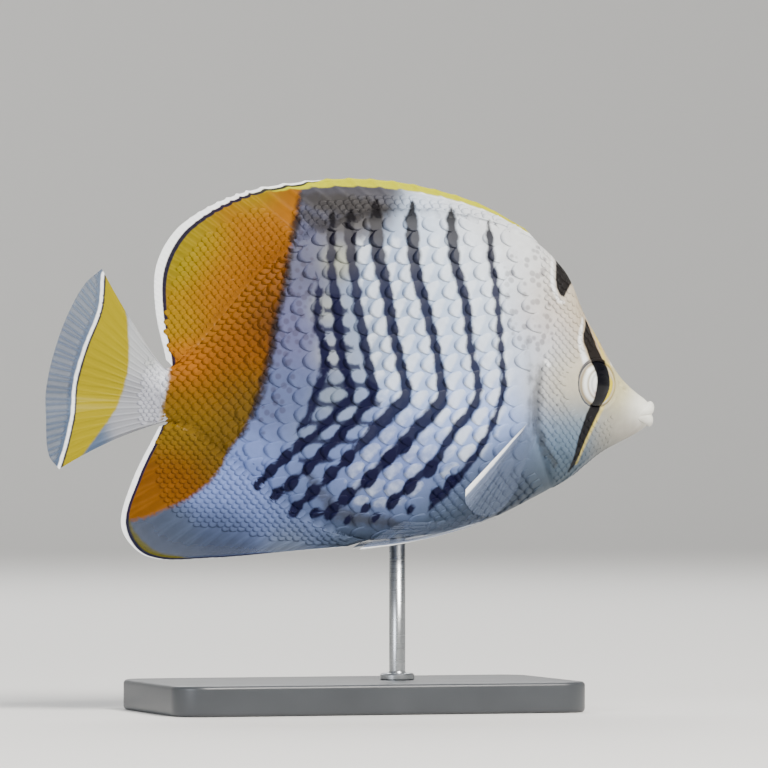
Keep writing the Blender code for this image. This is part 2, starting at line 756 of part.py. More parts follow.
def make_paired_fins(clear_body, collection):
    """Pectoral fins, swept down and back, and pelvic fins folded along the belly."""
    fins = []
    for side, word in ((-1, "right"), (1, "left")):
        out = Vector((1, -side, 1))

        def pectoral(s, r):
            s = clamped(s)
            z = PECTORAL_ROOT_LEVELS[0] + (PECTORAL_ROOT_LEVELS[1] - PECTORAL_ROOT_LEVELS[0]) * s
            x = PECTORAL_ROOT_X[0] + (PECTORAL_ROOT_X[1] - PECTORAL_ROOT_X[0]) * s
            root = Vector((x, -half_thickness(x, z), z))
            return (root + (curve_point(PECTORAL_EDGE, s) - root) * r) * out

        def pelvic(s, r):
            s = clamped(s)
            root = Vector(PELVIC_BASE[0]).lerp(Vector(PELVIC_BASE[1]), s)
            point = root + (curve_point(PELVIC_EDGE, s) - root) * r
            bow = 4 * clamped(r) * (1 - clamped(r))
            return (point + Vector(PELVIC_BEND) * bow) * out

        fins.append(make_web(
            "pectoral_fin_" + word, ray_columns(PECTORAL_RAYS, 0.0, 1.0, close=True),
            PECTORAL_ROWS, pectoral, fin_thickness(PAIRED_ROOT), ridge_height(RAY_RIDGE), collection,
        ))
        fins.append(make_web(
            "pelvic_fin_" + word, ray_columns(PELVIC_RAYS, 0.0, 1.0),
            PELVIC_ROWS, pelvic, fin_thickness(PAIRED_ROOT), ridge_height(RAY_RIDGE), collection,
        ))
    for fin in fins:
        cut(fin, clear_body)
    return fins


def make_eyes(collection, tools):
    """Each eye has a shallow recess that holds its pupil."""
    eyes, pupils = [], []
    for side, word in ((-1, "right"), (1, "left")):
        turn, depth = eye_turn(side), EYE_HALF_DEPTH
        eye = eye_solid("eye_" + word, side, 0.0, collection)
        floor = depth - PUPIL_RECESS
        centre = eye_centre(side) + eye_axis(side) * (floor + depth / 2)
        cut(eye, side_cylinder("recess", centre, PUPIL_RADIUS + GAP, depth, tools, turn))
        eyes.append(eye)
        radii = [EYE_RADIUS * PUPIL_DOME, depth * PUPIL_DOME, EYE_RADIUS * PUPIL_DOME]
        pupil = ellipsoid("pupil_" + word, eye_centre(side), radii, collection, turn)
        lifted = centre + eye_axis(side) * GAP
        cut(pupil, side_cylinder("core", lifted, PUPIL_RADIUS, depth, tools, turn), "INTERSECT")
        pupils.append(pupil)
    return eyes, pupils


def make_stand(clear_body, collection, tools):
    """A flat base with rounded corners, and one upright rod whose foot sits in it."""
    length, width, height = BASE_SIZE

    def build(shape):
        bmesh.ops.create_cube(shape, size=1.0)
        place = Matrix.Translation((0, 0, height / 2)) @ Matrix.Diagonal((length, width, height, 1.0))
        bmesh.ops.transform(shape, matrix=place, verts=shape.verts)
        corners = [e for e in shape.edges if abs(e.verts[0].co.z - e.verts[1].co.z) > height / 2]
        bmesh.ops.bevel(
            shape, geom=corners, offset=BASE_CORNER, segments=BASE_CORNER_SEGMENTS,
            affect="EDGES", profile=0.5,
        )

    base = add_object("stand_base", mesh_from("stand_base", build), collection)
    edge = base.modifiers.new("edge", "BEVEL")
    edge.width = BASE_BEVEL
    edge.segments = 2
    edge.limit_method = "ANGLE"
    applied(base)
    foot = height - ROD_FOOT_DEPTH

    def upright(name, radius, low, high, target):
        def fill(shape):
            depth = high - low
            bmesh.ops.create_cone(
                shape, cap_ends=True, segments=ROD_SIDES, radius1=radius, radius2=radius, depth=depth
            )
            bmesh.ops.translate(shape, vec=(ROD_X, 0.0, (low + high) / 2), verts=shape.verts)

        return add_object(name, mesh_from(name, fill), target)

    cut(base, upright("rod_hole", ROD_RADIUS + GAP, foot, height * 2, tools))
    rod = upright("stand_rod", ROD_RADIUS, foot + GAP, ROD_TOP, collection)
    collar_low = height + GAP
    collar = upright("collar", ROD_COLLAR_RADIUS, collar_low, collar_low + ROD_COLLAR_HEIGHT, tools)
    joined(rod, [collar])
    cut(rod, clear_body)
    return base, rod


def paint(pieces, name, colour, roughness=0.4, metallic=0.0):
    """Gives the pieces a plain material of the photo's colour, and shades them smooth."""
    material = bpy.data.materials.new(name)
    material.use_nodes = True
    shader = material.node_tree.nodes["Principled BSDF"]
    shader.inputs["Base Color"].default_value = (*colour, 1.0)
    shader.inputs["Roughness"].default_value = roughness
    shader.inputs["Metallic"].default_value = metallic
    for piece in pieces:
        piece.data.materials.clear()
        piece.data.materials.append(material)
        piece.data.shade_smooth()
        piece.data.set_sharp_from_angle(angle=SHARP_ANGLE)


def main():
    """Builds the fish and its stand in an empty scene."""
    for old in list(bpy.data.objects):
        bpy.data.objects.remove(old)
    parts = bpy.data.collections.new("seychelles_butterflyfish")
    tools = bpy.data.collections.new("cutters")
    for group in (parts, tools):
        bpy.context.scene.collection.children.link(group)
    body = body_loft("body_shape", tools)
    clear_body = grown(body, BODY_CLEARANCE, "clear_body", tools)
    head = make_head(body, parts, tools)
    torso, stalk = make_torso_and_stalk(body, parts, tools)
    spiny, soft, anal, caudal = make_median_fins(clear_body, parts)
    paired = make_paired_fins(clear_body, parts)
    eyes, pupils = make_eyes(parts, tools)
    base, rod = make_stand(clear_body, parts, tools)
    for tool in tools.objects:
        tool.hide_render = True
        tool.display_type = "WIRE"
    paint([head], "head_skin", (0.62, 0.55, 0.47))
    paint([torso], "barred_skin", (0.50, 0.53, 0.64))
    paint([stalk, soft], "orange_skin", (0.60, 0.26, 0.01))
    paint([anal], "anal_fin_skin", (0.42, 0.22, 0.04))
    paint([spiny], "yellow_fin_edge", (0.72, 0.68, 0.20))
    paint([caudal], "tail_fin_skin", (0.70, 0.56, 0.05))
    paint(paired, "clear_fin_skin", (0.62, 0.66, 0.72))
    paint(eyes, "eye_ring", (0.80, 0.80, 0.78), roughness=0.15)
    paint(pupils, "pupil_black", (0.01, 0.01, 0.015), roughness=0.08)
    paint([base], "base_lacquer", (0.025, 0.022, 0.020), roughness=0.35)
    paint([rod], "rod_steel", (0.62, 0.61, 0.58), roughness=0.3, metallic=1.0)


main()
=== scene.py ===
"""A life-size museum model of a Seychelles butterflyfish on a plain stand, dressed over its CAD frame."""

import math

import bpy
import numpy as np
from mathutils import Matrix, Vector
from mathutils.bvhtree import BVHTree


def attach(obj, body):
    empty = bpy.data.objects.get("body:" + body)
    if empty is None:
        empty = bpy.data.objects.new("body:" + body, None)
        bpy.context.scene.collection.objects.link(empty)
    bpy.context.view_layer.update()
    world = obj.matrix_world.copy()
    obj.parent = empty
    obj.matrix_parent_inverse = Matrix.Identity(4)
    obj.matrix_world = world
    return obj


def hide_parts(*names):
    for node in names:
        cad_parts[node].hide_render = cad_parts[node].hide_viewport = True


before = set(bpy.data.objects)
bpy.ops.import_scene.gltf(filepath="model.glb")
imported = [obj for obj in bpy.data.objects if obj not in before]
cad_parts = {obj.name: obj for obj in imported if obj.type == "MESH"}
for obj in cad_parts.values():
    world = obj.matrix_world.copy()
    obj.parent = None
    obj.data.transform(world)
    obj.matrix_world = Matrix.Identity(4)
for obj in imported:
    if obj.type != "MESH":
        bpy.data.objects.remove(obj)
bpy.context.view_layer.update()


# Base
# A flat block of board, 84 x 46 x 6 mm, with rounded corners and eased edges. It is sprayed with
# satin charcoal lacquer, which leaves a faint orange-peel surface and a soft wide highlight.
BASE_SIZE = (0.0840, 0.0460, 0.0060)
BASE_CORNER, BASE_EASE = 0.0060, 0.0008
CORNER_STEPS, EASE_STEPS = 12, 5
LACQUER_CLOUD, LACQUER_PEEL, PEEL_DEPTH = 0.012, 0.0009, 0.00003
LACQUER_COLOUR, LACQUER_WORN = "#34373B", "#44474B"


def linear(hex_colour):
    """An sRGB hex value as a linear colour with full alpha."""
    parts = [int(hex_colour[k : k + 2], 16) / 255 for k in (1, 3, 5)]
    return (*(p / 12.92 if p <= 0.04045 else ((p + 0.055) / 1.055) ** 2.4 for p in parts), 1.0)


def add_node(tree, kind, settings=(), inputs=(), output=0):
    """Adds one node and gives one of its outputs. An input is a value or the socket that feeds it."""
    made = tree.nodes.new(kind)
    for key, value in dict(settings).items():
        setattr(made, key, value)
    for key, value in dict(inputs).items():
        if isinstance(value, bpy.types.NodeSocket):
            tree.links.new(value, made.inputs[key])
        else:
            made.inputs[key].default_value = value
    return made if output is None else made.outputs[output]


def new_material(name, finish, *choices):
    """A material whose finish gives its shader's inputs; place is a point of the piece in metres."""
    material = bpy.data.materials.new(name)
    material.use_nodes = True
    tree = material.node_tree
    tree.nodes.clear()
    place = add_node(tree, "ShaderNodeTexCoord", output="Object")
    shader = add_node(tree, "ShaderNodeBsdfPrincipled", inputs=finish(tree, place, *choices))
    add_node(tree, "ShaderNodeOutputMaterial", inputs={"Surface": shader}, output=None)
    return material


def fine_relief(tree, place, grain, detail, strength, depth):
    """Noise with a grain of a real size as a shallow relief: its normal, and the noise itself."""
    noise = add_node(
        tree, "ShaderNodeTexNoise", inputs={"Vector": place, "Scale": 1 / grain, "Detail": detail}
    )
    normal = add_node(
        tree, "ShaderNodeBump", inputs={"Height": noise, "Strength": strength, "Distance": depth}
    )
    return normal, noise


def piece_from(name, verts, faces):
    """A smooth mesh object at the origin, with its place in its mesh."""
    mesh = bpy.data.meshes.new(name)
    mesh.from_pydata([tuple(map(float, v)) for v in verts], [], [tuple(map(int, f)) for f in faces])
    mesh.polygons.foreach_set("use_smooth", [True] * len(mesh.polygons))
    mesh.update()
    piece = bpy.data.objects.new(name, mesh)
    bpy.context.scene.collection.objects.link(piece)
    return piece


def ring_faces(rings, around, start=0):
    """Quads between rings of vertices that follow one another, from the vertex at start."""
    return [
        (low + k, low + (k + 1) % around, low + around + (k + 1) % around, low + around + k)
        for low in range(start, start + (rings - 1) * around, around) for k in range(around)
    ]


def rounded_block(name, size, corner, ease):
    """A block with round corners in plan and eased top and bottom edges, closed."""
    turns = [math.pi / 2 * k / EASE_STEPS for k in range(EASE_STEPS + 1)]
    rows = [(ease * (1 - math.cos(turn)), ease * (1 - math.sin(turn))) for turn in turns]
    levels = rows + [(size[2] - z, inset) for z, inset in reversed(rows)]
    verts = []
    for z, inset in levels:
        for quarter, (sign_x, sign_y) in enumerate(((1, 1), (-1, 1), (-1, -1), (1, -1))):
            for k in range(CORNER_STEPS + 1):
                turn = math.pi / 2 * (quarter + k / CORNER_STEPS)
                verts.append((
                    sign_x * (size[0] / 2 - corner) + (corner - inset) * math.cos(turn),
                    sign_y * (size[1] / 2 - corner) + (corner - inset) * math.sin(turn),
                    z,
                ))
    count = 4 * (CORNER_STEPS + 1)
    faces = [tuple(reversed(range(count))), *ring_faces(len(levels), count)]
    faces.append(tuple(range(len(verts) - count, len(verts))))
    return piece_from(name, verts, faces)


def satin_lacquer(tree, place):
    """Sprayed satin lacquer on board: even colour, slightly paler where it is handled, fine peel."""
    cloud = add_node(
        tree, "ShaderNodeTexNoise", inputs={"Vector": place, "Scale": 1 / LACQUER_CLOUD, "Detail": 3.0}
    )
    worn = add_node(
        tree, "ShaderNodeMix", {"data_type": "RGBA"},
        {"Factor": cloud, "A": linear(LACQUER_COLOUR), "B": linear(LACQUER_WORN)}, "Result",
    )
    sheen = add_node(tree, "ShaderNodeMapRange", inputs={"Value": cloud, "To Min": 0.34, "To Max": 0.46})
    peel, _ = fine_relief(tree, place, LACQUER_PEEL, 1.0, 0.25, PEEL_DEPTH)
    return {
        "Base Color": worn, "Roughness": sheen, "Normal": peel, "Coat Weight": 0.15, "Coat Roughness": 0.2,
    }


base = rounded_block("display_base", BASE_SIZE, BASE_CORNER, BASE_EASE)
base.data.materials.append(new_material("satin_charcoal_lacquer", satin_lacquer))
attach(base, "root")
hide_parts("stand_base")


# Rod
# One stainless steel rod, 3.2 mm across, with a turned collar at its foot. It stands in the base
# and its top sits in the belly, hidden by the scales. Fine turning marks run round it.
ROD_X, ROD_RADIUS = 0.0090, 0.0016
ROD_FOOT, ROD_TOP = 0.0031, 0.0350
COLLAR_FOOT, COLLAR_TOP = BASE_SIZE[2] + 0.00002, BASE_SIZE[2] + 0.0014
COLLAR_RADIUS = 0.0034
ROD_PROFILE = (
    (ROD_FOOT, 0.0), (ROD_FOOT, ROD_RADIUS), (COLLAR_FOOT, ROD_RADIUS),
    (COLLAR_FOOT, COLLAR_RADIUS - 0.0002), (BASE_SIZE[2] + 0.0002, COLLAR_RADIUS),
    (COLLAR_TOP - 0.0004, COLLAR_RADIUS), (COLLAR_TOP - 0.0001, COLLAR_RADIUS - 0.0003),
    (COLLAR_TOP, COLLAR_RADIUS - 0.0007), (COLLAR_TOP, ROD_RADIUS + 0.0002),
    (COLLAR_TOP + 0.0003, ROD_RADIUS), (ROD_TOP, ROD_RADIUS), (ROD_TOP, 0.0),
)
ROD_SIDES = 48
TURNING_PITCH, TURNING_STRETCH, TURNING_DEPTH = 0.00035, 60.0, 0.00002
STEEL_COLOUR = "#B9BCBF"
SAME_LEVEL, EDGES_BELOW = 1e-7, COLLAR_TOP + 0.0004


def turned(name, profile, origin, axis, sides):
    """A closed turned shape. The profile is (distance along the axis, radius), 0 at each end."""
    origin, axis = Vector(origin), Vector(axis).normalized()
    first = axis.orthogonal().normalized()
    second = axis.cross(first)
    turns = [2 * math.pi * k / sides for k in range(sides)]
    ring = [first * math.cos(turn) + second * math.sin(turn) for turn in turns]
    verts = [origin + axis * profile[0][0]]
    verts += [origin + axis * along + out * radius for along, radius in profile[1:-1] for out in ring]
    verts.append(origin + axis * profile[-1][0])
    faces = ring_faces(len(profile) - 2, sides, 1)
    last = len(verts) - 1
    for k in range(sides):
        after = (k + 1) % sides
        faces += [(0, 1 + after, 1 + k), (last - sides + k, last - sides + after, last)]
    return piece_from(name, verts, faces)


def turned_steel(tree, place):
    """Turned stainless steel: pale grey metal whose fine rings stretch its highlight."""
    squeezed = add_node(
        tree, "ShaderNodeMapping", inputs={"Vector": place, "Scale": (1.0, 1.0, TURNING_STRETCH)}
    )
    normal, rings = fine_relief(tree, squeezed, TURNING_STRETCH * TURNING_PITCH, 2.0, 0.2, TURNING_DEPTH)
    rough = add_node(tree, "ShaderNodeMapRange", inputs={"Value": rings, "To Min": 0.22, "To Max": 0.36})
    return {"Base Color": linear(STEEL_COLOUR), "Metallic": 1.0, "Roughness": rough, "Normal": normal}


rod = turned("display_rod", ROD_PROFILE, (ROD_X, 0, 0), (0, 0, 1), ROD_SIDES)
rod.data.materials.append(new_material("turned_stainless_steel", turned_steel))
for edge in rod.data.edges:
    low, high = (rod.data.vertices[v].co for v in edge.vertices)
    edge.use_edge_sharp = abs(low.z - high.z) < SAME_LEVEL and low.z < EDGES_BELOW
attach(rod, "root")
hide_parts("stand_rod")


# Skin
# The body is one smooth casting in resin, 102 mm from lips to tail stalk, with the gill cover, the
# cheek plate, the nostrils and the eye sockets modelled in it. Head, trunk and stalk are one piece.
# It is airbrushed and then sealed with a satin varnish.
BACK_LINE = (
    (0.0616, 0.0596), (0.0613, 0.0604), (0.0604, 0.0613), (0.0580, 0.0631), (0.0553, 0.0658),
    (0.0534, 0.0686), (0.0501, 0.0743), (0.0473, 0.0792), (0.0452, 0.0845), (0.0435, 0.0873),
    (0.0394, 0.0914), (0.0355, 0.0939), (0.0302, 0.0959), (0.0199, 0.0981), (0.0096, 0.0987),
    (-0.0007, 0.0975), (-0.0110, 0.0938), (-0.0213, 0.0863), (-0.0295, 0.0769), (-0.0345, 0.0700),
    (-0.0372, 0.0678), (-0.0400, 0.0672),
)
BELLY_LINE = (
    (0.0616, 0.0574), (0.0613, 0.0565), (0.0604, 0.0556), (0.0590, 0.0546), (0.0549, 0.0524),
    (0.0508, 0.0501), (0.0446, 0.0455), (0.0405, 0.0432), (0.0363, 0.0411), (0.0302, 0.0382),
    (0.0199, 0.0350), (0.0096, 0.0338), (0.0024, 0.0334), (-0.0048, 0.0350), (-0.0131, 0.0388),
    (-0.0213, 0.0441), (-0.0285, 0.0500), (-0.0340, 0.0550), (-0.0372, 0.0564), (-0.0400, 0.0570),
)
HALF_WIDTH = (
    (0.0616, 0.0009), (0.0613, 0.0014), (0.0604, 0.0019), (0.0580, 0.0026), (0.0545, 0.0037),
    (0.0510, 0.0053), (0.0470, 0.0066), (0.0420, 0.0079), (0.0360, 0.0089), (0.0290, 0.0094),
    (0.0200, 0.0093), (0.0100, 0.0086), (0.0000, 0.0074), (-0.0100, 0.0060), (-0.0200, 0.0045),
    (-0.0300, 0.0031), (-0.0360, 0.0023), (-0.0400, 0.0016),
)
WIDEST_LEVEL = (
    (0.0616, 0.0584), (0.0580, 0.0590), (0.0500, 0.0615), (0.0400, 0.0620), (0.0200, 0.0610),
    (0.0000, 0.0615), (-0.0200, 0.0620), (-0.0400, 0.0621),
)
BACK_EDGE = (
    (0.0616, 1.00), (0.0540, 1.05), (0.0450, 1.15), (0.0350, 1.35), (0.0100, 1.45), (-0.0250, 1.40),
    (-0.0400, 1.10),
)
BELLY_EDGE = (
    (0.0616, 1.00), (0.0540, 1.02), (0.0400, 1.10), (0.0100, 1.12), (-0.0050, 1.30), (-0.0250, 1.40),
    (-0.0400, 1.10),
)
BODY_FRONT, BODY_END = 0.0616, -0.0400
HEAD_END_X, HEAD_CROWDING = 0.0380, 1.15
SKIN_RINGS_HEAD, SKIN_RINGS_BODY, SKIN_AROUND = 100, 140, 320
TABLE_SAMPLES = 1200
# The skin lies this far inside the solids, to leave room for the scales, and less so on the snout.
COAT_DEPTH, COAT_ON_SNOUT, COAT_STARTS = 0.00026, 0.25, (0.0585, 0.0520)
GILL_EDGE = (
    (0.0392, 0.0940), (0.0400, 0.0830), (0.0385, 0.0745), (0.0360, 0.0680), (0.0350, 0.0610),
    (0.0357, 0.0545), (0.0385, 0.0480), (0.0420, 0.0415),
)
GILL_SPAN, GILL_RISE, GILL_FADE = (0.0425, 0.0790), 0.0004, 0.0085
GROOVE_AT, GROOVE_WIDE, GROOVE_DEEP, GROOVE_SPAN = 0.0004, 0.0006, 0.00042, (0.0425, 0.0470, 0.0740, 0.0790)
UNDER_GILL = 0.0002
CHEEK_EDGE = (
    (0.0432, 0.0692), (0.0408, 0.0665), (0.0396, 0.0615), (0.0394, 0.0560), (0.0410, 0.0512),
    (0.0448, 0.0484),
)
CHEEK_SPAN, CHEEK_RISE, CHEEK_FADE = (0.0470, 0.0695), 0.00032, 0.0060
PLATE_DROP, PLATE_END = (-0.00035, 0.0001), 0.004
NOSTRILS = ((0.0555, 0.0631, 0.00042), (0.0544, 0.0643, 0.00034))
NOSTRIL_DEEP, NOSTRIL_RIM = 0.00045, 0.00010
EYE_CENTRE = (0.0482, 0.0043, 0.0642)
EYE_TURN = math.radians(20)
SOCKET_REACH, SOCKET_FLOOR, SOCKET_EDGE = 0.0085, 0.0002, (0.0049, 0.0044)
SOCKET_RING = (0.0052, 0.0007, 0.00018)


def smooth_read(places, values, wanted):
    """Rows of values on the smooth curve through (places, values), at the wanted places."""
    index = np.arange(len(places))
    before, after = np.maximum(index - 1, 0), np.minimum(index + 1, index[-1])
    slope = (values[after] - values[before]) / (places[after] - places[before])[:, None]
    k = np.clip(np.searchsorted(places, wanted, side="right") - 1, 0, len(places) - 2)
    step = (places[k + 1] - places[k])[:, None]
    t = (wanted - places[k])[:, None] / step
    return (
        (2 * t**3 - 3 * t**2 + 1) * values[k] + (t**3 - 2 * t**2 + t) * slope[k] * step
        + (3 * t**2 - 2 * t**3) * values[k + 1] + (t**3 - t**2) * slope[k + 1] * step
    )


def curve_at(points, shares):
    """A smooth curve through points, read at shares, 0 to 1, of the way along it."""
    points = np.array(points, float)
    places = np.concatenate([[0.0], np.cumsum(np.linalg.norm(np.diff(points, axis=0), axis=1))])
    return smooth_read(places, points, np.clip(shares, 0.0, 1.0) * places[-1])


def smooth_outline(points, steps):
    """A closed smooth outline through points, in short steps."""
    return curve_at(np.concatenate([points, points[:1]]), np.linspace(0, 1, steps))[:-1]


def smooth_table(points):
    """A table of (x, value) as closely spaced samples of a smooth curve, with x rising."""
    points = np.array(sorted(points), float)
    x = np.linspace(points[0, 0], points[-1, 0], TABLE_SAMPLES)
    return x, smooth_read(points[:, 0], points[:, 1:], x)[:, 0]


back_line, belly_line, half_width, widest_level, back_edge, belly_edge = map(
    smooth_table, (BACK_LINE, BELLY_LINE, HALF_WIDTH, WIDEST_LEVEL, BACK_EDGE, BELLY_EDGE)
)
gill_line, cheek_line = (smooth_table([(z, x) for x, z in edge]) for edge in (GILL_EDGE, CHEEK_EDGE))


def body_height(x, up):
    """The level of the widest part, the height from it to the back or belly, and that edge's shape."""
    level = np.interp(x, *widest_level)
    end = np.where(up, np.interp(x, *back_line), np.interp(x, *belly_line))
    edge = np.where(up, np.interp(x, *back_edge), np.interp(x, *belly_edge))
    return level, np.abs(end - level), edge


def body_point(x, angle):
    """Points of the bare body at x; angle 0 is the back, pi the belly, and above pi the right side."""
    level, height, edge = body_height(x, np.cos(angle) >= 0)
    side = np.sin(angle)
    y = np.interp(x, *half_width) * np.sign(side) * np.abs(side) ** edge
    return np.stack([x, y, level + height * np.cos(angle)], axis=-1)


def half_thickness(x, z):
    """The body's half thickness at (x, z), or 0 outside its outline."""
    level, height, edge = body_height(x, z >= np.interp(x, *widest_level))
    share = np.clip(np.abs(z - level) / height, 0.0, 1.0)
    return np.interp(x, *half_width) * (1 - share * share) ** (edge / 2)


def body_normal(x, angle, probe=2e-4, turn_probe=0.02):
    """Outward directions of the bare body."""
    along = body_point(x + probe, angle) - body_point(x - probe, angle)
    around = body_point(x, angle + turn_probe) - body_point(x, angle - turn_probe)
    normal = np.cross(along, around)
    return normal / np.maximum(np.linalg.norm(normal, axis=-1, keepdims=True), 1e-12)


def eye_frame(side):
    """Centre and outward axis of an eye; side is -1 on the right."""
    centre = np.array([EYE_CENTRE[0], EYE_CENTRE[1] * side, EYE_CENTRE[2]])
    return centre, np.array([math.sin(EYE_TURN), side * math.cos(EYE_TURN), 0.0])


def smooth_step(value, low, high):
    """0 below low, 1 above high, and a smooth rise between them."""
    t = np.clip((value - low) / (high - low), 0.0, 1.0)
    return t * t * (3 - 2 * t)


def bell(value, middle, wide):
    """1 at the middle, falling smoothly to 0 on both sides."""
    return np.exp(-(((value - middle) / wide) ** 2))


def plate_rise(x, z, line, span, height, fade):
    """How far a bony plate stands out: most at its rear edge, then a short soft drop."""
    ahead = x - np.interp(z, *line)
    rise = np.clip(1 - ahead / fade, 0.0, 1.0) * smooth_step(ahead, *PLATE_DROP)
    ends = smooth_step(z, span[0], span[0] + PLATE_END) * smooth_step(-z, -span[1], -span[1] + PLATE_END)
    return height * rise * ends


def relief(x, z):
    """How far the modelled forms stand out from the bare body."""
    out = plate_rise(x, z, gill_line, GILL_SPAN, GILL_RISE, GILL_FADE)
    out = out + plate_rise(x, z, cheek_line, CHEEK_SPAN, CHEEK_RISE, CHEEK_FADE)
    low, low_end, high_end, high = GROOVE_SPAN
    ends = smooth_step(z, low, low_end) * smooth_step(-z, -high, -high_end)
    out = out - GROOVE_DEEP * bell(np.interp(z, *gill_line) - x, GROOVE_AT, GROOVE_WIDE) * ends
    for nostril_x, nostril_z, radius in NOSTRILS:
        away = np.hypot(x - nostril_x, z - nostril_z) / radius
        out = out - NOSTRIL_DEEP * np.exp(-(away**4)) + NOSTRIL_RIM * bell(away, 1.6, 0.45)
    return out


def skin_point(x, angle, under_gill=False):
    """Points of the modelled skin, or of what lies under the gill cover."""
    point = body_point(x, angle)
    rise = smooth_step(-x, *(-place for place in COAT_STARTS))
    coat = COAT_DEPTH * (COAT_ON_SNOUT + (1 - COAT_ON_SNOUT) * rise)
    form = relief(point[..., 0], point[..., 2])
    if under_gill:
        form = np.where(x > np.interp(point[..., 2], *gill_line) - UNDER_GILL, -UNDER_GILL, form)
    return point + body_normal(x, angle) * (form - coat)[..., None]


def eye_distance(spots, centre, axis):
    """How far spots lie out along an eye's axis, and how far away from it."""
    offset = spots - centre
    depth = offset @ axis
    return depth, np.linalg.norm(offset - depth[..., None] * axis, axis=-1)


def sink_sockets(points):
    """Draws the skin in under each eye and raises a low fleshy ring round it."""
    for side in (-1, 1):
        centre, axis = eye_frame(side)
        depth, away = eye_distance(points, centre, axis)
        near = (away < SOCKET_REACH) & (points[..., 1] * side > 0)
        ring = SOCKET_RING[2] * bell(away, *SOCKET_RING[:2])
        bowl = smooth_step(-away, *(-edge for edge in SOCKET_EDGE))
        lift = np.where(near, ring * (1 - bowl) - bowl * np.maximum(depth - SOCKET_FLOOR, 0.0), 0.0)
        points = points + lift[..., None] * axis
    return points


def closed_tube(grid):
    """Vertices and faces of a grid of rings (ring, around), with a fan across each end."""
    rings, around = grid.shape[:2]
    verts = [*grid.reshape(-1, 3), grid[0].mean(axis=0), grid[-1].mean(axis=0)]
    faces, end = ring_faces(rings, around), (rings - 1) * around
    for k in range(around):
        after = (k + 1) % around
        faces += [(after, k, len(verts) - 2), (end + k, end + after, len(verts) - 1)]
    return verts, faces


head_share = np.linspace(0, 1, SKIN_RINGS_HEAD, endpoint=False) ** HEAD_CROWDING
skin_x = np.concatenate([
    BODY_FRONT - (BODY_FRONT - HEAD_END_X) * head_share, np.linspace(HEAD_END_X, BODY_END, SKIN_RINGS_BODY),
])
skin_angle = np.linspace(0, 2 * math.pi, SKIN_AROUND, endpoint=False)
skin_grid = skin_point(*np.meshgrid(skin_x, skin_angle, indexing="ij"))
skin = piece_from("fish_skin", *closed_tube(sink_sockets(skin_grid)))


# The paint plan is laid out in the photograph's own picture points, which are turned to millimetres
# on the fish. A stripe or line is a row of (x, y, half width), an oval is (x, y, size), an area is
# its outline, and a tint is a soft cloud (x, y, reach, colour).
PICTURE_MIDDLE, PICTURE_LEVEL, LEVEL_HEIGHT = 353.5, 558, 30
POINTS_PER_MM, POINTS_PER_METRE_OUT = 4.857, 1485
MM_UP, MM_WIDE = 0.19685, 0.2
FAR = 99.0
STRIPES = (
    (
        (489, 222, 1), (490, 232, 2.8), (491, 250, 3.4), (492, 265, 3.2), (495, 280, 3.2),
        (499, 320, 2.8), (502, 360, 2.6), (504, 380, 2.8), (502, 395, 2.8), (497, 412, 2.6),
        (490, 430, 2.6), (480, 448, 3), (470, 463, 3.2), (460, 475, 3.4), (450, 487, 3.6),
        (437, 500, 3.4), (430, 509, 2.4),
    ),
    (
        (450, 208, 1.6), (452, 222, 4.4), (453, 240, 5.4), (455, 262, 5.2), (460, 280, 4.8),
        (465, 300, 4.4), (468, 320, 4), (470, 340, 3.6), (473, 360, 3.2), (477, 375, 3.2),
        (479, 390, 3.6), (475, 405, 3.8), (465, 418, 4), (455, 430, 4), (445, 445, 3.8),
        (437, 460, 3.8), (425, 470, 3.2), (413, 482, 2.6), (402, 492, 1.8), (390, 504, 1),
    ),
    (
        (411, 203, 2), (412, 220, 5.8), (413, 240, 6.2), (415, 262, 6), (418, 280, 5.6),
        (424, 300, 5.2), (429, 320, 4.8), (434, 340, 4.4), (438, 360, 4), (441, 380, 4),
        (443, 395, 4.8), (437, 408, 6), (425, 420, 6.2), (414, 432, 6), (403, 443, 5.2),
        (391, 455, 4.6), (380, 467, 4.2), (369, 479, 3.8), (358, 489, 2.8), (347, 498, 2.2),
        (333, 510, 1),
    ),
    (
        (375, 203, 3), (376, 220, 6.2), (377, 240, 6.8), (380, 262, 6.4), (384, 280, 6),
        (388, 300, 5.4), (391, 320, 5), (395, 340, 4.6), (399, 355, 4.4), (402, 370, 4.4),
        (406, 385, 4.8), (406, 395, 5.4), (400, 405, 6), (388, 416, 6), (375, 430, 5.6), (363, 443, 4),
        (350, 457, 3), (340, 468, 2.4), (330, 479, 2), (315, 492, 1.6), (298, 507, 0.8),
    ),
    (
        (349, 210, 2), (350, 226, 4.6), (351, 245, 5), (353, 265, 4.6), (356, 285, 4.4),
        (358, 305, 4.4), (362, 325, 4.2), (365, 345, 4.2), (369, 365, 4.2), (373, 385, 4.4),
        (372, 397, 4.2), (361, 411, 3.8), (351, 424, 3.6), (341, 434, 3.4), (332, 445, 3),
        (323, 454, 2.6), (309, 467, 2), (292, 482, 1.4), (277, 494, 0.8),
    ),
    (
        (331, 214, 1.6), (332, 232, 3.6), (332, 245, 3.8), (332, 270, 4), (335, 290, 4.2),
        (338, 310, 4), (339, 330, 4), (341, 345, 3.8), (344, 365, 3.6), (350, 385, 3.6),
        (351, 397, 3.4), (344, 405, 3.2), (334, 415, 3.2), (326, 424, 3), (317, 433, 3),
        (308, 440, 2.8), (300, 446, 2.6), (287, 458, 2), (273, 470, 1.6), (260, 483, 1),
    ),
    (
        (316, 205, -9), (316, 262, -4), (320, 288, 2.6), (318, 325, 3.4), (323, 340, 3.4),
        (326, 360, 3.2), (325, 375, 3.2), (317, 389, 3.2), (313, 402, 3.2), (311, 412, 3),
        (304, 424, 2.8), (298, 432, 1.8), (289, 439, -4),
    ),
)
STRIPE_END, STRIPE_REACH = 40, 8.0
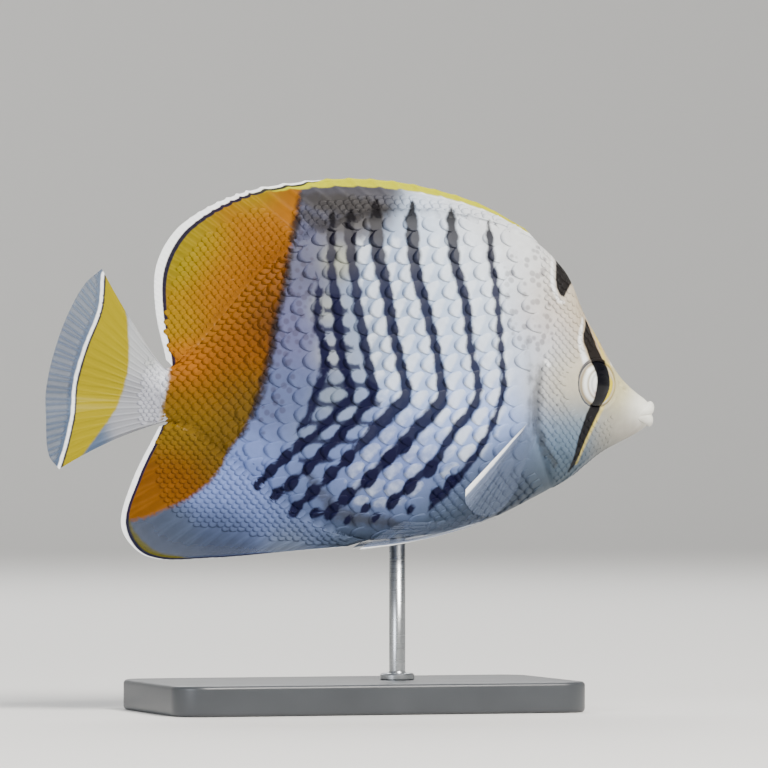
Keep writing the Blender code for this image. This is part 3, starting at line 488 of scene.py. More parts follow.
OVALS = (
    (276, 494, 0.85), (292, 483, 1), (296, 508, 1), (309, 467, 0.9), (313, 492, 1), (315, 513, 0.7),
    (331, 474, 1), (332, 511, 1), (348, 458, 1), (347, 496, 1.1), (366, 508, 0.7), (370, 478, 1.15),
    (376, 517, 0.6), (389, 458, 1.05), (393, 501, 0.95), (405, 446, 1), (410, 486, 1), (411, 509, 0.6),
    (431, 469, 1), (436, 494, 0.9), (451, 482, 0.9), (272, 470, 0.9), (286, 457, 0.95),
    (300, 445, 0.9), (323, 453, 0.95), (341, 434, 0.9), (260, 483, 0.8), (348, 520, 0.6),
)
OVAL_SIZE, OVAL_LEAN = (2.0, 1.28), math.radians(-62)
NAPE_SPOT = (
    (556, 256), (557, 270), (557, 284), (560, 293), (564, 297), (568, 291), (573, 282), (576, 277),
    (574, 268), (566, 258),
)
EYE_BAR = (
    (587, 318), (586, 328), (584, 338), (588, 350), (592, 363), (595.5, 376), (595, 390), (593.5, 401),
    (590, 408), (584, 424), (579, 440), (575, 455), (568, 474), (575, 466), (584, 446), (593, 426),
    (602, 407), (606, 398), (609, 388), (609, 378), (606, 364), (600, 350), (593, 332), (589, 322),
)
ORANGE_AREA = (
    (303, 178), (300, 195), (295, 225), (290, 260), (285, 290), (278, 320), (274, 345), (268, 370),
    (261, 395), (254, 412), (246, 430), (231, 450), (222, 465), (212, 480), (200, 490), (190, 498),
    (170, 507), (150, 516), (120, 522), (100, 480), (150, 428), (161, 422), (165, 405), (169, 385),
    (171, 366), (120, 330), (120, 150),
)
WHITE_LINES_AND_HIGHLIGHT = (
    ((584, 318, 1.0), (582, 330, 1.8), (581, 342, 2.4), (584, 354, 3), (587, 364, 3.4), (589, 374, 3)),
    ((553, 254, 1), (553, 272, 1.8), (554, 286, 2.2), (560, 301, 1.4), (565, 302, 1)),
    # A painted highlight: the small bright spot at the top of the gill cover.
    ((546, 361, 1.6), (549, 366, 1.8)),
    ((612, 352, 0.5), (614, 372, 1.6), (614, 392, 1.6), (610, 402, 0.6)),
)
# Soft dark bands. The first two are painted shade in the gill opening behind the gill cover's edge; the
# others, under the dorsal fin's margin and along the lower rear, mix the fish's dusky tone with painted
# shade.
DUSK_AND_SHADE_LINES = (
    ((542, 364, 1.6), (538, 386, 4.2), (537, 410, 5.4), (539, 430, 5.2), (546, 448, 4), (556, 464, 2)),
    ((527, 340, 0.6), (530, 372, 1.6), (531, 402, 2), (529, 430, 1.2)),
    ((298, 198, 3), (318, 202, 8), (345, 205, 9.5), (366, 207, 8), (388, 209, 4)),
    ((300, 214, 4), (322, 226, 7), (342, 227, 7), (366, 221, 5), (386, 216, 2)),
    ((306, 470, 3), (340, 512, 6), (400, 524, 5)),
)
NET_AREA = (
    (326, 296), (346, 294), (352, 340), (362, 375), (386, 392), (372, 425), (345, 455), (318, 470),
    (298, 464), (308, 430), (316, 395), (321, 350),
)
FRECKLES = (
    ((508, 262), (540, 246), (553, 290), (545, 350), (520, 345), (506, 300)),
    ((299, 232), (322, 300), (318, 345), (302, 400), (262, 430), (268, 392), (280, 345), (288, 290)),
)
FRINGES = (
    (
        (300, 196, 2.4), (295, 225, 3.4), (290, 260, 3.6), (285, 290, 3.2), (278, 320, 3.6),
        (274, 345, 4), (268, 370, 4), (261, 395, 3.8), (254, 412, 3), (246, 430, 2.4), (231, 450, 1),
        (222, 465, 0),
    ),
)
YELLOW_LINES = (
    ((590, 318, 1), (595, 330, 1.4), (601, 344, 1.6), (606, 358, 2), (610, 370, 2), (612, 382, 1.6)),
    ((606, 404, 1.2), (598, 418, 1.8), (590, 434, 1.8), (583, 450, 1.4), (577, 464, 0.8)),
)
# Ground tints, each a soft cloud. The darker tints of the belly, breast and lower head are partly the fish's
# own grey and partly painted shade from light above.
COOL_TINTS_AND_SHADE = (
    (520, 260, 34, "#D8DADB"), (470, 300, 34, "#B9CBE2"), (520, 350, 30, "#BBC9E0"),
    (440, 350, 30, "#9FB4DA"), (480, 420, 34, "#93AAE0"), (400, 300, 26, "#8A9CBA"),
    (360, 330, 22, "#7B88A0"), (345, 208, 18, "#45444A"), (305, 260, 22, "#4E5066"),
    (300, 330, 22, "#555778"), (290, 400, 24, "#505A7E"), (340, 470, 30, "#61719E"),
    (300, 500, 26, "#4E5C80"), (250, 480, 26, "#6B7DB4"), (400, 480, 30, "#6778AC"),
    (430, 520, 26, "#414D58"), (360, 535, 26, "#39434D"), (490, 480, 26, "#3D4656"),
    (520, 480, 26, "#3B434E"), (570, 300, 26, "#BCAC90"), (540, 320, 20, "#C6BBB2"),
    (560, 380, 22, "#C0B494"), (560, 430, 24, "#647A90"), (560, 480, 24, "#48545E"),
    (600, 340, 14, "#BFA886"), (620, 385, 14, "#C4BC90"), (620, 430, 18, "#A29E90"),
    (610, 460, 16, "#6C7074"), (646, 405, 12, "#F2F2E6"), (638, 434, 12, "#A8A29B"),
    (656, 412, 10, "#F4F4EC"), (150, 350, 12, "#A8AAA8"), (150, 395, 12, "#A2A3AC"),
    (165, 378, 8, "#DADCE2"), (230, 535, 18, "#343E54"), (170, 545, 18, "#3E485C"),
    (290, 548, 14, "#566070"), (490, 505, 16, "#404A58"), (338, 262, 9, "#9A9C86"),
    (328, 310, 9, "#96998A"), (333, 352, 9, "#92979A"), (330, 398, 10, "#76828E"),
    (312, 432, 10, "#6C7A90"), (348, 414, 10, "#7886A0"),
)
WARM_TINTS = (
    (260, 215, 24, "#8A5400"), (270, 270, 22, "#6A3A00"), (270, 320, 20, "#4A2804"),
    (230, 260, 26, "#8A5400"), (200, 240, 20, "#847A00"), (180, 270, 16, "#7E7600"),
    (210, 300, 26, "#885400"), (180, 320, 18, "#8A6E00"), (230, 350, 26, "#744000"),
    (190, 362, 14, "#A85E00"), (200, 390, 22, "#6E4400"), (240, 400, 22, "#544008"),
    (190, 420, 22, "#6E5604"), (220, 450, 20, "#5A4204"), (180, 480, 20, "#663A00"),
    (250, 190, 14, "#8C8400"), (160, 500, 14, "#704400"),
)


def midline_place(points):
    """Picture points in the fish's middle plane as (x, z) in millimetres."""
    points = np.array(points, float)
    x = (points[:, 0] - PICTURE_MIDDLE) / POINTS_PER_MM
    return np.stack([x, LEVEL_HEIGHT + (PICTURE_LEVEL - points[:, 1]) * MM_UP], axis=-1)


def flank_place(points):
    """Picture points on the flank as (x, z) in millimetres: the body's width shifts them in the picture."""
    middle = midline_place(points)
    place = middle.copy()
    for _ in range(8):
        shift = POINTS_PER_METRE_OUT * half_thickness(*place.T / 1000) / POINTS_PER_MM
        place[:, 0] = middle[:, 0] - shift
    return place


def painted_line(line, steps):
    """A painted line as (x, z, half width) in millimetres, with a number of steps to each point."""
    places, widths = flank_place([point[:2] for point in line]), [point[2] * MM_WIDE for point in line]
    return curve_at(np.column_stack([places, widths]), np.linspace(0, 1, steps * len(line)))


def nearest_on(spots, a, b):
    """Each spot's distance from the straight line a to b, and the share of the way to its nearest point."""
    step = b - a
    t = np.clip(((spots - a) @ step) / max(step @ step, 1e-9), 0.0, 1.0)
    return np.linalg.norm(spots - a - t[:, None] * step, axis=1), t


def line_field(spots, lines):
    """Millimetres inside the nearest of the painted lines, below 0 outside them."""
    field = np.full(len(spots), -FAR)
    for line in lines:
        points = painted_line(line, 4)
        for a, b in zip(points, points[1:]):
            away, t = nearest_on(spots, a[:2], b[:2])
            field = np.maximum(field, a[2] + (b[2] - a[2]) * t - away)
    return field


def beside_stripe(spots, stripe):
    """Millimetres ahead of a stripe's middle line, below 0 behind it, and its half width there."""
    points = painted_line(stripe, 3)
    ends = []
    for last, inner in ((points[0], points[1]), (points[-1], points[-2])):
        out = (last - inner)[:2]
        ends.append([[*(last[:2] + out / np.hypot(*out) * STRIPE_END), last[2] - STRIPE_END]])
    points = np.concatenate([ends[0], points, ends[1]])
    nearest, side, half = np.full(len(spots), 10 * FAR), np.zeros(len(spots)), np.zeros(len(spots))
    for a, b in zip(points, points[1:]):
        away, t = nearest_on(spots, a[:2], b[:2])
        step, offset = (b - a)[:2], spots - a[:2]
        closer = away < nearest
        nearest = np.where(closer, away, nearest)
        side = np.where(closer, np.sign(step[0] * offset[:, 1] - step[1] * offset[:, 0]), side)
        half = np.where(closer, a[2] + (b[2] - a[2]) * t, half)
    return nearest * side, half


def stripe_steps(spots):
    """How many stripes lie ahead of each spot, with a share; the gap from stripe to stripe; the
    nearer stripe's half width."""
    away, half = (np.stack(found) for found in zip(*(beside_stripe(spots, stripe) for stripe in STRIPES)))
    last, every = len(STRIPES) - 1, np.arange(len(spots))
    passed = np.sum(away < 0, axis=0)
    front, rear = np.clip(passed - 1, 0, last), np.clip(passed, 0, last)
    to_front, to_rear = np.abs(away[front, every]), np.abs(away[rear, every])
    inner = (passed > 0) & (passed <= last)
    gap = np.where(inner, np.maximum(to_front + to_rear, 0.2), STRIPE_REACH)
    before, behind = (np.minimum(away / STRIPE_REACH, 0.49) for away in (to_rear, to_front))
    outer = np.where(passed == 0, -before, last + behind)
    step = np.where(inner, passed - 1 + to_front / gap, outer)
    return step, gap, np.where(to_front < to_rear, half[front, every], half[rear, every])


def area_field(spots, outline):
    """Millimetres inside a closed outline, below 0 outside it."""
    nearest, inside = np.full(len(spots), FAR), np.zeros(len(spots), bool)
    for a, b in zip(outline, np.roll(outline, -1, axis=0)):
        nearest = np.minimum(nearest, nearest_on(spots, a, b)[0])
        if abs(b[1] - a[1]) > 1e-9:
            crosses = (a[1] > spots[:, 1]) != (b[1] > spots[:, 1])
            inside ^= crosses & (spots[:, 0] < a[0] + (spots[:, 1] - a[1]) * (b[0] - a[0]) / (b[1] - a[1]))
    return np.where(inside, nearest, -nearest)


def tint_of(spots, tints, place):
    """Soft clouds of linear colour, each strongest at its own place."""
    total, mixed = np.zeros(len(spots)), np.zeros((len(spots), 3))
    for centre, (_, _, reach, colour) in zip(place([tint[:2] for tint in tints]), tints):
        weight = np.exp(-np.sum((spots - centre) ** 2, axis=1) / (2 * (reach * MM_WIDE) ** 2)) + 1e-12
        total += weight
        mixed += weight[:, None] * np.array(linear(colour)[:3])
    return mixed / total[:, None]


def body_paint(spots):
    """Every layer of the body's paint at (x, z) in millimetres, each as millimetres inside its marks."""
    dark = np.full(len(spots), -FAR)
    lean = np.array([[math.cos(OVAL_LEAN), math.sin(OVAL_LEAN)], [-math.sin(OVAL_LEAN), math.cos(OVAL_LEAN)]])
    for centre, (_, _, size) in zip(flank_place([oval[:2] for oval in OVALS]), OVALS):
        away = np.hypot(*((spots - centre) @ lean / OVAL_SIZE).T)
        dark = np.maximum(dark, (size - away) * OVAL_SIZE[1])
    for spot in (NAPE_SPOT, EYE_BAR):
        dark = np.maximum(dark, area_field(spots, smooth_outline(flank_place(spot), 60)))
    step, gap, half = stripe_steps(spots)
    freckled = np.max([area_field(spots, flank_place(area)) for area in FRECKLES], axis=0)
    return {
        "dark": dark, "stripe_step": step, "stripe_gap": gap, "stripe_half": half,
        "orange": area_field(spots, flank_place(ORANGE_AREA)),
        "net": area_field(spots, flank_place(NET_AREA)),
        "white": line_field(spots, WHITE_LINES_AND_HIGHLIGHT),
        "yellow": line_field(spots, YELLOW_LINES),
        "dusk": line_field(spots, DUSK_AND_SHADE_LINES),
        "fringe": line_field(spots, FRINGES),
        "freckle": np.minimum(freckled * 0.5, 0.0) - 0.38,
        "cool_tint": tint_of(spots, COOL_TINTS_AND_SHADE, flank_place),
        "warm_tint": tint_of(spots, WARM_TINTS, flank_place),
    }


def store(piece, layers):
    """Keeps each layer on the piece's vertices, as a number or a colour."""
    for name, values in layers.items():
        values = np.asarray(values, np.float32)
        if values.ndim == 1:
            piece.data.attributes.new(name, "FLOAT", "POINT").data.foreach_set("value", values)
        else:
            full = np.column_stack([values, np.ones(len(values), np.float32)])
            piece.data.attributes.new(name, "FLOAT_COLOR", "POINT").data.foreach_set("color", full.ravel())


def vertices_of(piece):
    """The piece's vertices, in metres."""
    found = np.empty(len(piece.data.vertices) * 3, np.float32)
    piece.data.vertices.foreach_get("co", found)
    return found.reshape(-1, 3).astype(float)


def flat_mm(spots):
    """Points as (x, z) in millimetres."""
    return spots[:, [0, 2]] * 1000


# Airbrushed acrylic under satin varnish: thin layers with soft edges, a little mottled, over resin.
DARK_INK, BROWN_INK = "#04052A", "#0D0A0E"
# The pale gleam colour is a painted highlight for the flank scales.
PAINT_WHITE, PAINT_YELLOW, PAINT_HIGHLIGHT = "#F8FAFB", "#D8C24C", "#E4ECF4"
PAINT_SPECK, PAINT_DUSK_AND_SHADE, PAINT_FRECKLE = "#1C120A", "#2C2820", "#342A34"
SCALE_SHADE = (0.62, 0.64, 0.72, 1)
MOTTLE, GRIT, FRECKLE_PITCH = 0.0016, 0.0006, 0.0017
SKIN_PORE, SKIN_PORE_DEPTH = 0.0005, 0.00005
BROWN_ABOVE, BROWN_AHEAD = (0.084, 0.097), (0.034, 0.040)
SCALE_ROW, FIRST_ROW = 0.00366, 0.031
SATIN_VARNISH = {"Coat Weight": 0.04, "Coat Roughness": 0.3, "IOR": 1.45, "Specular IOR Level": 0.14}


def layer(tree, under, field, colour, soft, noise, roam, most=1.0):
    """Lays a colour over another where the field is above 0, with a soft edge that wanders. A plain
    name stands for what the vertices hold under it."""
    if isinstance(field, str):
        field = add_node(tree, "ShaderNodeAttribute", {"attribute_name": field}, output="Fac")
    if isinstance(colour, str) and colour.startswith("#"):
        colour = linear(colour)
    elif isinstance(colour, str):
        colour = add_node(tree, "ShaderNodeAttribute", {"attribute_name": colour}, output="Color")
    drift = {0: noise, 1: roam, 2: -roam / 2}
    wander = add_node(tree, "ShaderNodeMath", {"operation": "MULTIPLY_ADD"}, drift)
    moved = add_node(tree, "ShaderNodeMath", {"operation": "ADD"}, {0: field, 1: wander})
    mask = add_node(
        tree, "ShaderNodeMapRange", {"interpolation_type": "SMOOTHSTEP"},
        {"Value": moved, "From Min": -soft, "From Max": soft, "To Max": most},
    )
    return add_node(
        tree, "ShaderNodeMix", {"data_type": "RGBA"}, {"Factor": mask, "A": under, "B": colour}, "Result"
    )


def stripe_masks(tree, place):
    """Millimetres inside the nearest flank stripe, which swells at each scale row, and inside the net
    round its oval cells. Each line names a number and says how it comes from the ones before it."""
    known = {
        name: add_node(tree, "ShaderNodeAttribute", {"attribute_name": name}, output="Fac")
        for name in ("stripe_step", "stripe_gap", "stripe_half", "net")
    }
    known["height"] = add_node(tree, "ShaderNodeSeparateXYZ", inputs={"Vector": place}, output="Z")
    for name, operation, *inputs in (
        ("off", "PINGPONG", "stripe_step", 0.5),
        ("away", "MULTIPLY", "off", "stripe_gap"),
        ("row", "MULTIPLY_ADD", "height", 1 / SCALE_ROW, -FIRST_ROW / SCALE_ROW),
        ("turn", "MULTIPLY", "row", 2 * math.pi),
        ("wave", "COSINE", "turn"),
        ("swell", "MULTIPLY_ADD", "wave", 0.17, "stripe_half"),
        ("wide", "ADD", "swell", 0.12),
        ("stripe", "SUBTRACT", "wide", "away"),
        ("from_row", "PINGPONG", "row", 0.5),
        ("up", "MULTIPLY_ADD", "from_row", -2.56, 1.28),
        ("half_gap", "MULTIPLY_ADD", "stripe_gap", 0.5, -0.05),
        ("room", "SUBTRACT", "half_gap", "stripe_half"),
        ("from_middle", "SUBTRACT", "half_gap", "away"),
        ("out", "DIVIDE", "from_middle", "room"),
        ("up_squared", "MULTIPLY", "up", "up"),
        ("reach_squared", "MULTIPLY_ADD", "out", "out", "up_squared"),
        ("reach", "SQRT", "reach_squared"),
        ("outside", "MULTIPLY_ADD", "reach", 1.3, -1.3),
        ("in_net", "MINIMUM", "outside", "net"),
    ):
        feeds = {k: known[value] if isinstance(value, str) else value for k, value in enumerate(inputs)}
        known[name] = add_node(tree, "ShaderNodeMath", {"operation": operation}, feeds)
    return known["stripe"], known["in_net"]


def body_colour(tree, place, scaled):
    """The body's paint layers, from the ground tint up to the dark marks."""
    noise, grit = (
        add_node(tree, "ShaderNodeTexNoise", inputs={"Vector": place, "Scale": 1 / grain, "Detail": detail})
        for grain, detail in ((MOTTLE, 3.0), (GRIT, 2.0))
    )
    cells = add_node(
        tree, "ShaderNodeTexVoronoi", inputs={"Vector": place, "Scale": 1 / FRECKLE_PITCH, "Randomness": 0.9}
    )
    dots = add_node(tree, "ShaderNodeMath", {"operation": "SUBTRACT"}, {0: 1.0, 1: cells})
    # The ground tint carries painted shade on the belly, breast and lower head.
    colour = add_node(tree, "ShaderNodeAttribute", {"attribute_name": "cool_tint"}, output="Color")
    colour = layer(tree, colour, "freckle", PAINT_FRECKLE, 0.3, dots, 3.0, 0.4)
    if scaled:
        edge = add_node(tree, "ShaderNodeAttribute", {"attribute_name": "scale_edge"}, output="Fac")
        colour = add_node(
            tree, "ShaderNodeMix", {"data_type": "RGBA", "blend_type": "MULTIPLY"},
            {"Factor": edge, "A": colour, "B": SCALE_SHADE}, "Result",
        )
        # A painted highlight: a pale gleam slanting across each flank scale.
        colour = layer(tree, colour, "streak", PAINT_HIGHLIGHT, 0.35, noise, 0.5, 0.56)
    for field, paint, soft, grain, roam, most in (
        # The first of these layers lays soft bands of painted shade mixed with dusky tone.
        ("dusk", PAINT_DUSK_AND_SHADE, 0.9, noise, 3.0, 0.62), ("orange", "warm_tint", 0.55, grit, 1.3, 1.0),
        ("fringe", PAINT_SPECK, 0.5, noise, 2.0, 0.86), ("white", PAINT_WHITE, 0.35, noise, 0.2, 0.92),
        ("yellow", PAINT_YELLOW, 0.4, noise, 0.2, 0.8),
    ):
        colour = layer(tree, colour, field, paint, soft, grain, roam, most)
    parts = add_node(tree, "ShaderNodeSeparateXYZ", inputs={"Vector": place}, output=None)
    high, head = (
        add_node(
            tree, "ShaderNodeMapRange", inputs={"Value": parts.outputs[way], "From Min": low, "From Max": top}
        )
        for way, (low, top) in (("Z", BROWN_ABOVE), ("X", BROWN_AHEAD))
    )
    brown = add_node(tree, "ShaderNodeMath", {"operation": "MAXIMUM"}, {0: high, 1: head})
    ink = add_node(
        tree, "ShaderNodeMix", {"data_type": "RGBA"},
        {"Factor": brown, "A": linear(DARK_INK), "B": linear(BROWN_INK)}, "Result",
    )
    stripes, net = stripe_masks(tree, place)
    for field, soft, roam, most in (
        (net, 0.32, 1.0, 0.86), (stripes, 0.40, 1.0, 0.96), ("dark", 0.22, 0.4, 0.98),
    ):
        colour = layer(tree, colour, field, ink, soft, noise, roam, most)
    blotch = add_node(tree, "ShaderNodeMapRange", inputs={"Value": noise, "To Min": 0.84, "To Max": 1.14})
    return add_node(tree, "ShaderNodeVectorMath", {"operation": "SCALE"}, {0: colour, "Scale": blotch})


def varnished_paint(tree, place, scaled, roughness, grain, grain_depth):
    """Airbrushed acrylic on cast resin, sealed with satin varnish; the grain is its fine texture."""
    normal, pores = fine_relief(tree, place, grain, 3.0, 0.5, grain_depth)
    rough = add_node(
        tree, "ShaderNodeMapRange",
        inputs={"Value": pores, "To Min": roughness - 0.06, "To Max": roughness + 0.08},
    )
    colour = body_colour(tree, place, scaled)
    return {"Base Color": colour, "Roughness": rough, "Normal": normal, **SATIN_VARNISH}


skin_paint = new_material("varnished_skin_paint", varnished_paint, False, 0.48, SKIN_PORE, SKIN_PORE_DEPTH)
store(skin, body_paint(flat_mm(vertices_of(skin))))
skin.data.materials.append(skin_paint)
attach(skin, "root")
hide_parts("head", "torso", "tail_stalk")


# Lips
# Two soft lips round the tip of the snout, each a tapered roll that runs back into the cheek. They
# are modelled on the casting and keep a dark slit between them.
LIPS = (
    ("upper_lip", 0.0625, 0.0595, 0.00086, 0.0012),
    ("lower_lip", 0.0622, 0.0571, 0.00084, -0.0008),
)
LIP_CORNER, LIP_SINK = (0.0582, 0.0577), 0.00034
LIP_STEPS, LIP_SIDES, LIP_WIDE, LIP_TALL = 72, 20, 0.9, 1.55

for lip_name, front_x, level, thickness, slope in LIPS:
    share = np.linspace(-1, 1, LIP_STEPS)
    back = np.abs(share) ** 1.6
    x = front_x - thickness - (front_x - thickness - LIP_CORNER[0]) * back
    height = level + (LIP_CORNER[1] + slope * 0.35 - level) * back
    tip = smooth_step(-np.abs(share), -0.45, 0.0)
    y = np.sign(share) * (np.interp(x, *half_width) - LIP_SINK) * (1 - tip**2) ** 0.5
    middle = np.stack([x, y, height], axis=-1)
    across = np.cross(np.gradient(middle, axis=0), [0.0, 0.0, 1.0])
    across /= np.linalg.norm(across, axis=1, keepdims=True)
    radius = thickness * (1 - 0.55 * back) * np.sqrt(np.clip(1.02 - np.abs(share) ** 6, 0.01, 1))
    turn = np.linspace(2 * math.pi, 0, LIP_SIDES, endpoint=False)[None, :, None]
    ring = across[:, None] * np.cos(turn) * LIP_WIDE + np.array([0, 0, LIP_TALL]) * np.sin(turn)
    lip = piece_from(lip_name, *closed_tube(middle[:, None] + radius[:, None, None] * ring))
    store(lip, body_paint(flat_mm(vertices_of(lip))))
    lip.data.materials.append(skin_paint)
    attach(lip, "root")


# Eyes
# Each eye is a cast resin dome, 9.5 mm across, painted from behind and polished: a white ring with
# thin bronze and grey lines, the dark bar across it and a yellow crescent in front. The pupil is a
# black lens on the bar, and a soft painted rim like the skin runs round the eye.
EYE_RADIUS, EYE_HALF_DEPTH, EYE_VISIBLE = 0.0050, 0.0030, 0.00475
PUPIL_RADIUS, PUPIL_LIFT = 0.0021, 0.00018
EYE_SIDES, IRIS_STEPS, LENS_STEPS = 72, 30, 16
DOME_BACK, DOME_INSET = 0.0002, 0.0001
RIM_RADIUS, RIM_LEVEL, RIM_BEAD, RIM_STRETCH, RIM_SIDES = 0.00486, 0.00125, 0.00023, 1.3, 14
RIM_SHADE_FROM, RIM_SHADE_MOST = (-0.0010, 0.0022), 0.85
YELLOW_CRESCENT = (
    (609, 376), (612.5, 382), (612, 390), (609, 398), (603, 404), (599, 406), (605, 399), (608, 391),
    (609.5, 384),
)
IRIS_WHITE, IRIS_CREAM, IRIS_RIM, IRIS_PINK = "#F4F6F0", "#8A764E", "#343A50", "#C08A84"
IRIS_YELLOW, IRIS_FRONT, IRIS_INK, RIM_SHADE = "#D8C400", "#BCA868", "#04040A", "#2C3244"
IRIS_LINES = (
    (4.25, 0.34, 0.9, IRIS_CREAM), (3.1, 0.2, 0.8, IRIS_CREAM), (2.35, 0.14, 0.55, IRIS_RIM),
    (4.7, 0.2, 0.9, IRIS_RIM),
)
IRIS_FIBRE = 0.0006
FRONT_FROM, FRONT_MOST = (0.0016, 0.0032), 0.75
PINK_PLACE, PINK_REACH, PINK_MOST = (596, 394), 0.5**0.5, 0.6
PUPIL_PLACE, PUPIL_WIDE = (603.0, 383.0), 1.25


def eye_dome(name, side, out_to, rings, lift):
    """A closed dome on the eye's axis, out to a radius."""
    centre, axis = eye_frame(side)
    profile = [(DOME_BACK, 0.0), (DOME_BACK, out_to - DOME_INSET)]
    for radius in out_to * np.sin(np.linspace(0, math.pi / 2, rings))[::-1]:
        bulge = EYE_HALF_DEPTH * math.sqrt(1 - (radius / EYE_RADIUS) ** 2)
        profile.append((bulge + lift * (1 - (radius / out_to) ** 2), radius))
    return turned(name, profile, centre, axis, EYE_SIDES)


def polished_resin(tree, place):
    """Clear polished resin over paint: smooth and wet, with one sharp highlight."""
    fibres = add_node(
        tree, "ShaderNodeTexNoise", inputs={"Vector": place, "Scale": 1 / IRIS_FIBRE, "Detail": 2.0}
    )
    colour = add_node(tree, "ShaderNodeAttribute", {"attribute_name": "iris_tint"}, output="Color")
    colour = layer(tree, colour, "yellow", IRIS_YELLOW, 0.16, fibres, 0.1)
    colour = layer(tree, colour, "dark", IRIS_INK, 0.18, fibres, 0.15)
    return {
        "Base Color": colour, "Roughness": 0.25, "Specular IOR Level": 0.2, "Coat Weight": 0.22,
        "Coat Roughness": 0.04, "Coat IOR": 1.35,
    }


def towards(tint, colour, amount):
    """A tint moved towards a colour by an amount, 0 to 1, at each vertex."""
    return tint * (1 - amount[:, None]) + np.array(linear(colour)[:3]) * amount[:, None]


def eye_paint(piece, centre, axis):
    """The eye's rings, the dark bar with the pupil in it, and the yellow crescent ahead of it."""
    spots = vertices_of(piece)
    flat, away = flat_mm(spots), eye_distance(spots, centre, axis)[1] * 1000
    tint = np.tile(linear(IRIS_WHITE)[:3], (len(spots), 1))
    for at, wide, most, colour in IRIS_LINES:
        tint = towards(tint, colour, most * bell(away, at, wide))
    tint = towards(tint, IRIS_FRONT, FRONT_MOST * smooth_step(spots[:, 0] - centre[0], *FRONT_FROM))
    from_pink, from_pupil = (
        np.linalg.norm(flat - flank_place([spot]), axis=1) for spot in (PINK_PLACE, PUPIL_PLACE)
    )
    tint = towards(tint, IRIS_PINK, PINK_MOST * bell(from_pink, 0.0, PINK_REACH))
    bar = area_field(flat, smooth_outline(flank_place(EYE_BAR), 90))
    crescent = area_field(flat, flank_place(YELLOW_CRESCENT))
    store(piece, {"iris_tint": tint, "dark": np.maximum(bar, PUPIL_WIDE - from_pupil), "yellow": crescent})


eye_finish = new_material("polished_eye_resin", polished_resin)
for side, word in ((-1, "right"), (1, "left")):
    centre, axis = eye_frame(side)
    iris = eye_dome("iris_" + word, side, EYE_VISIBLE, IRIS_STEPS, 0.0)
    eye_paint(iris, centre, axis)
    iris.data.materials.append(eye_finish)
    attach(iris, "root")
    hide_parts("eye_" + word)

    pupil = eye_dome("lens_" + word, side, PUPIL_RADIUS, LENS_STEPS, PUPIL_LIFT)
    eye_paint(pupil, centre, axis)
    pupil.data.materials.append(eye_finish)
    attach(pupil, "root")
    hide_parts("pupil_" + word)

    up = np.array([0.0, 0.0, 1.0])
    turns = np.linspace(0, 2 * math.pi, EYE_SIDES, endpoint=False)
    bead = np.linspace(2 * math.pi, 0, RIM_SIDES, endpoint=False)
    outward = np.cos(turns)[:, None] * up + np.sin(turns)[:, None] * np.cross(axis, up)
    out, along = RIM_RADIUS + RIM_BEAD * RIM_STRETCH * np.cos(bead), RIM_LEVEL + RIM_BEAD * np.sin(bead)
    loop = centre + outward[:, None] * out[:, None] + axis * along[:, None]
    count = EYE_SIDES * RIM_SIDES
    faces = [tuple(v % count for v in face) for face in ring_faces(EYE_SIDES + 1, RIM_SIDES)]
    eyelid = piece_from("eye_rim_" + word, loop.reshape(-1, 3), faces)
    spots = vertices_of(eyelid)
    paint = body_paint(flat_mm(spots))
    rear = RIM_SHADE_MOST * smooth_step(centre[0] - spots[:, 0], *RIM_SHADE_FROM)
    paint["cool_tint"] = towards(paint["cool_tint"], RIM_SHADE, rear)
    paint["white"] = np.minimum(paint["white"], -1.0)
    store(eyelid, paint)
    eyelid.data.materials.append(skin_paint)
    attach(eyelid, "root")


# Fins
# Each fin is a thin tapered web cast in flexible resin, with its spines and branched rays raised on
# both faces. Dorsal, anal and tail fins stand in the midline; pectoral and pelvic fins are paired.
DORSAL_BASE = (
    (0.0374, 0.0930), (0.0302, 0.0959), (0.0199, 0.0981), (0.0096, 0.0987), (-0.0007, 0.0975),
    (-0.0110, 0.0938), (-0.0213, 0.0863), (-0.0295, 0.0769), (-0.0345, 0.0702), (-0.0370, 0.0678),
)
DORSAL_EDGE = (
    (0.0353, 0.0951), (0.0256, 0.1001), (0.0127, 0.1036), (0.0013, 0.1048), (-0.0100, 0.1042),
    (-0.0235, 0.1017), (-0.0350, 0.0955), (-0.0400, 0.0880), (-0.0404, 0.0790), (-0.0382, 0.0690),
)
ANAL_BASE = (
    (0.0024, 0.0334), (-0.0048, 0.0350), (-0.0131, 0.0388), (-0.0213, 0.0441), (-0.0285, 0.0500),
    (-0.0340, 0.0550), (-0.0374, 0.0566),
)
ANAL_EDGE = (
    (-0.0018, 0.0322), (-0.0140, 0.0313), (-0.0290, 0.0302), (-0.0420, 0.0306), (-0.0472, 0.0362),
    (-0.0452, 0.0450), (-0.0396, 0.0560),
)
TAIL_BASE = (
    (-0.0386, 0.0672), (-0.0388, 0.0648), (-0.0389, 0.0620), (-0.0389, 0.0592), (-0.0387, 0.0568),
)
TAIL_EDGE = (
    (-0.0512, 0.0867), (-0.0547, 0.0836), (-0.0584, 0.0769), (-0.0608, 0.0690), (-0.0621, 0.0611),
    (-0.0624, 0.0552), (-0.0618, 0.0503), (-0.0598, 0.0477),
)
TAIL_CREASE_AT, TAIL_CREASE_REACH, TAIL_CREASE_DEPTH = 0.62, (0.40, 0.16), 0.0022
TAIL_RAY_BOW, TAIL_ROOT_REACH, TAIL_LEVEL, TAIL_ROOT_SPREAD = 0.0009, 0.0034, 0.0620, 0.45
PECTORAL_ROOT_LEVELS, PECTORAL_ROOT_X = (0.0567, 0.0532), (0.0332, 0.0345)
